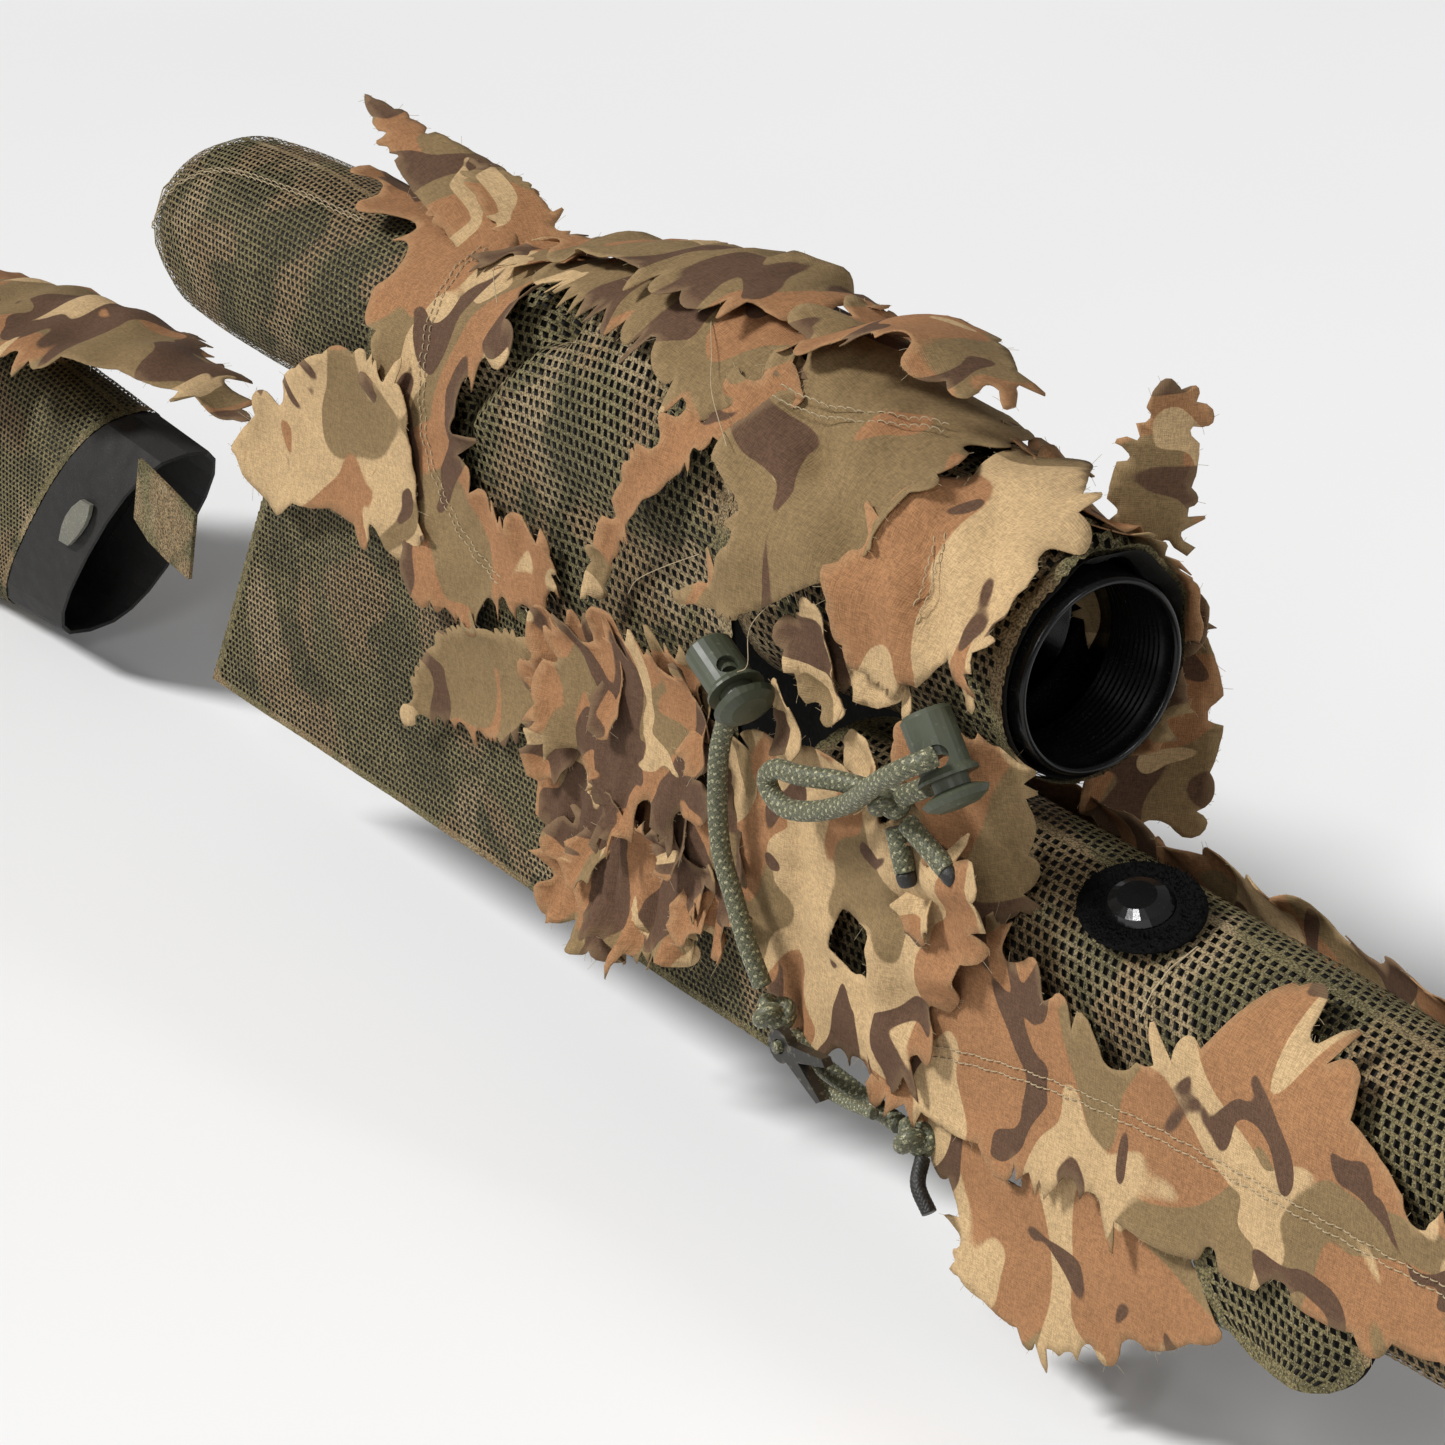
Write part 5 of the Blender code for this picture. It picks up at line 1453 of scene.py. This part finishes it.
def build_stock_cloth():
    """Leaf laid over the stock sleeve, with its near side hanging."""
    leaf = free_leaf([(-608, 4, -88), (-540, 4, -80), (-470, 4, -70), (-405, 4, -66), (-355, 4, -70),
                      (-314, 4, -80)], (0.0, 0.97, -0.1),
                     [(0, -45), (0, 30), (60, 30), (120, 30), (200, 25), (260, 10), (295, 0), (240, -20),
                      (190, -40), (120, -55), (60, -45)], cup=-34, ripple=5, seed=39, cut=1.0, calm=0.2)
    cloth_piece("stock_leaf", [leaf], BROWN_MIX)


def build_far_side_cloth():
    """The same kinds of strip on the +Y side."""
    garland("shoulder_leaf_left", cover_profile, [(52, -0.8), (84, -0.85), (130, -0.82)],
            [30, 34, 26], [30, 32, 26], BROWN_MIX, lift=3, height=12, fold=40, seed=41)
    garland("side_garland_left", cover_profile, [(-18, -1.72), (-8, -2.3), (-14, -2.9)],
            [34, 38, 28], [32, 36, 26], KHAKI_MIX, lift=2, height=11, layers=2, seed=43)
    garland("rear_leaf_left", cover_profile, [(-84, -2.3), (-130, -2.3), (-176, -2.4)],
            [14, 20, 8], [14, 20, 8], RUST_MIX, lift=2, height=6, seed=44)
    garland("forend_strip_left", sleeve_profile, [(110, -1.3), (270, -1.35), (424, -1.3)],
            [34, 40, 40], [20, 24, 20], RUST_MIX, lift=2, height=9, fold=60, seed=45)


# ---------- tube, button, hook, locks and stock band ----------

def build_tube():
    """Threaded sunshade tube."""
    rim, bore, length, lip = 31.0, 28.4, 72.0, 2.4
    inner = []
    for ring in range(11):
        top = length - 6 - ring * 2.2
        inner += [(bore, top), (bore - 0.7, top - 0.5), (bore - 0.7, top - 1.1), (bore, top - 1.6)]
    profile = [(rim, 0), (rim, length - 1.2), (rim - 0.4, length - 0.3), (rim - 1.1, length),
               (bore + 0.9, length), (bore + 0.3, length - 0.5), (bore, length - 1.4), *inner, (bore, 30),
               (bore - lip, 29), (bore - lip, 26), (bore, 25), (bore, 0)]
    turned("sunshade_tube_body", profile, frame_matrix((118, 0, 0), (1, 0, 0), (0, 1, 0)), TUBE_BLACK,
           ["sunshade_tube"], closed=True)


def build_felt_patch():
    """Oval felt patch round the snap, with fibres standing out of its rim."""
    low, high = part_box("felt_binding")
    middle = (Vector(low) + Vector(high)) / 2 / MM
    up = Vector((0, -math.sin(BUTTON_TILT), math.cos(BUTTON_TILT)))
    place = frame_matrix(middle, up, (1, 0, 0))
    profile = rounded([(8.6, -0.8), (16.8, -0.8), (17.0, 0.0), (16.4, 0.8), (8.6, 0.8)], radius=0.4)
    turned("felt_patch", profile, place, FELT, ["felt_binding"], oval=(FELT_LONG, 1.0), closed=True)
    rng = np.random.default_rng(71)
    rows = []
    for angle in rng.uniform(0, math.tau, FELT_FIBRES):
        out = np.array((math.cos(angle) * FELT_LONG, math.sin(angle), 0.0))
        start = out * rng.uniform(10, 16.6) + np.array((0, 0, 0.5))
        tip = start + out * rng.uniform(-0.5, 1.2) + np.array((0, 0, rng.uniform(0.3, 1.2)))
        rows.append(np.array([tuple(place @ Vector(start)), tuple(place @ Vector(tip))]))
    thread_piece("felt_fibres", rows, FIBRE_DIAMETER, FELT)


def build_springs():
    """Coils in the cord locks, each with a mesh of its own; on the real locks they shorten as the plungers
    are pressed.
    """
    for letter, lock in (("a", LOCK_A), ("b", LOCK_B)):
        place = lock_matrix(lock)
        share = np.linspace(0, 1, 24 * SPRING_TURNS + 1)
        angle = math.tau * SPRING_TURNS * share
        coil = np.column_stack([SPRING_RADIUS * np.cos(angle), SPRING_RADIUS * np.sin(angle),
                                SPRING_LOW + (SPRING_HIGH - SPRING_LOW) * share])
        coil = np.array([tuple(place @ Vector(point)) for point in coil])
        item = wire_tube(f"lock_{letter}_coil", coil, SPRING_WIRE, SPRING)
        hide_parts(f"lock_{letter}_spring")
        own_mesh(item)


def build_plain_hardware():
    """CAD nodes whose shape is right get their finish."""
    looks = {"snap_base": BLACK_GLOSS, "snap_cap": BLACK_GLOSS, "keeper_hook": STEEL,
             "lock_a_barrel": OLIVE, "lock_a_plunger": OLIVE, "lock_b_barrel": OLIVE, "lock_b_plunger": OLIVE,
             "stock_band": ELASTIC, "stock_tab": WEBBING, "tail_strap": NET}
    for name, material in looks.items():
        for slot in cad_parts[name].material_slots:
            slot.material = material


build_stage()
build_cords()
build_nets()
build_net_seams()
build_cloth()
build_tube()
build_felt_patch()
build_springs()
build_plain_hardware()
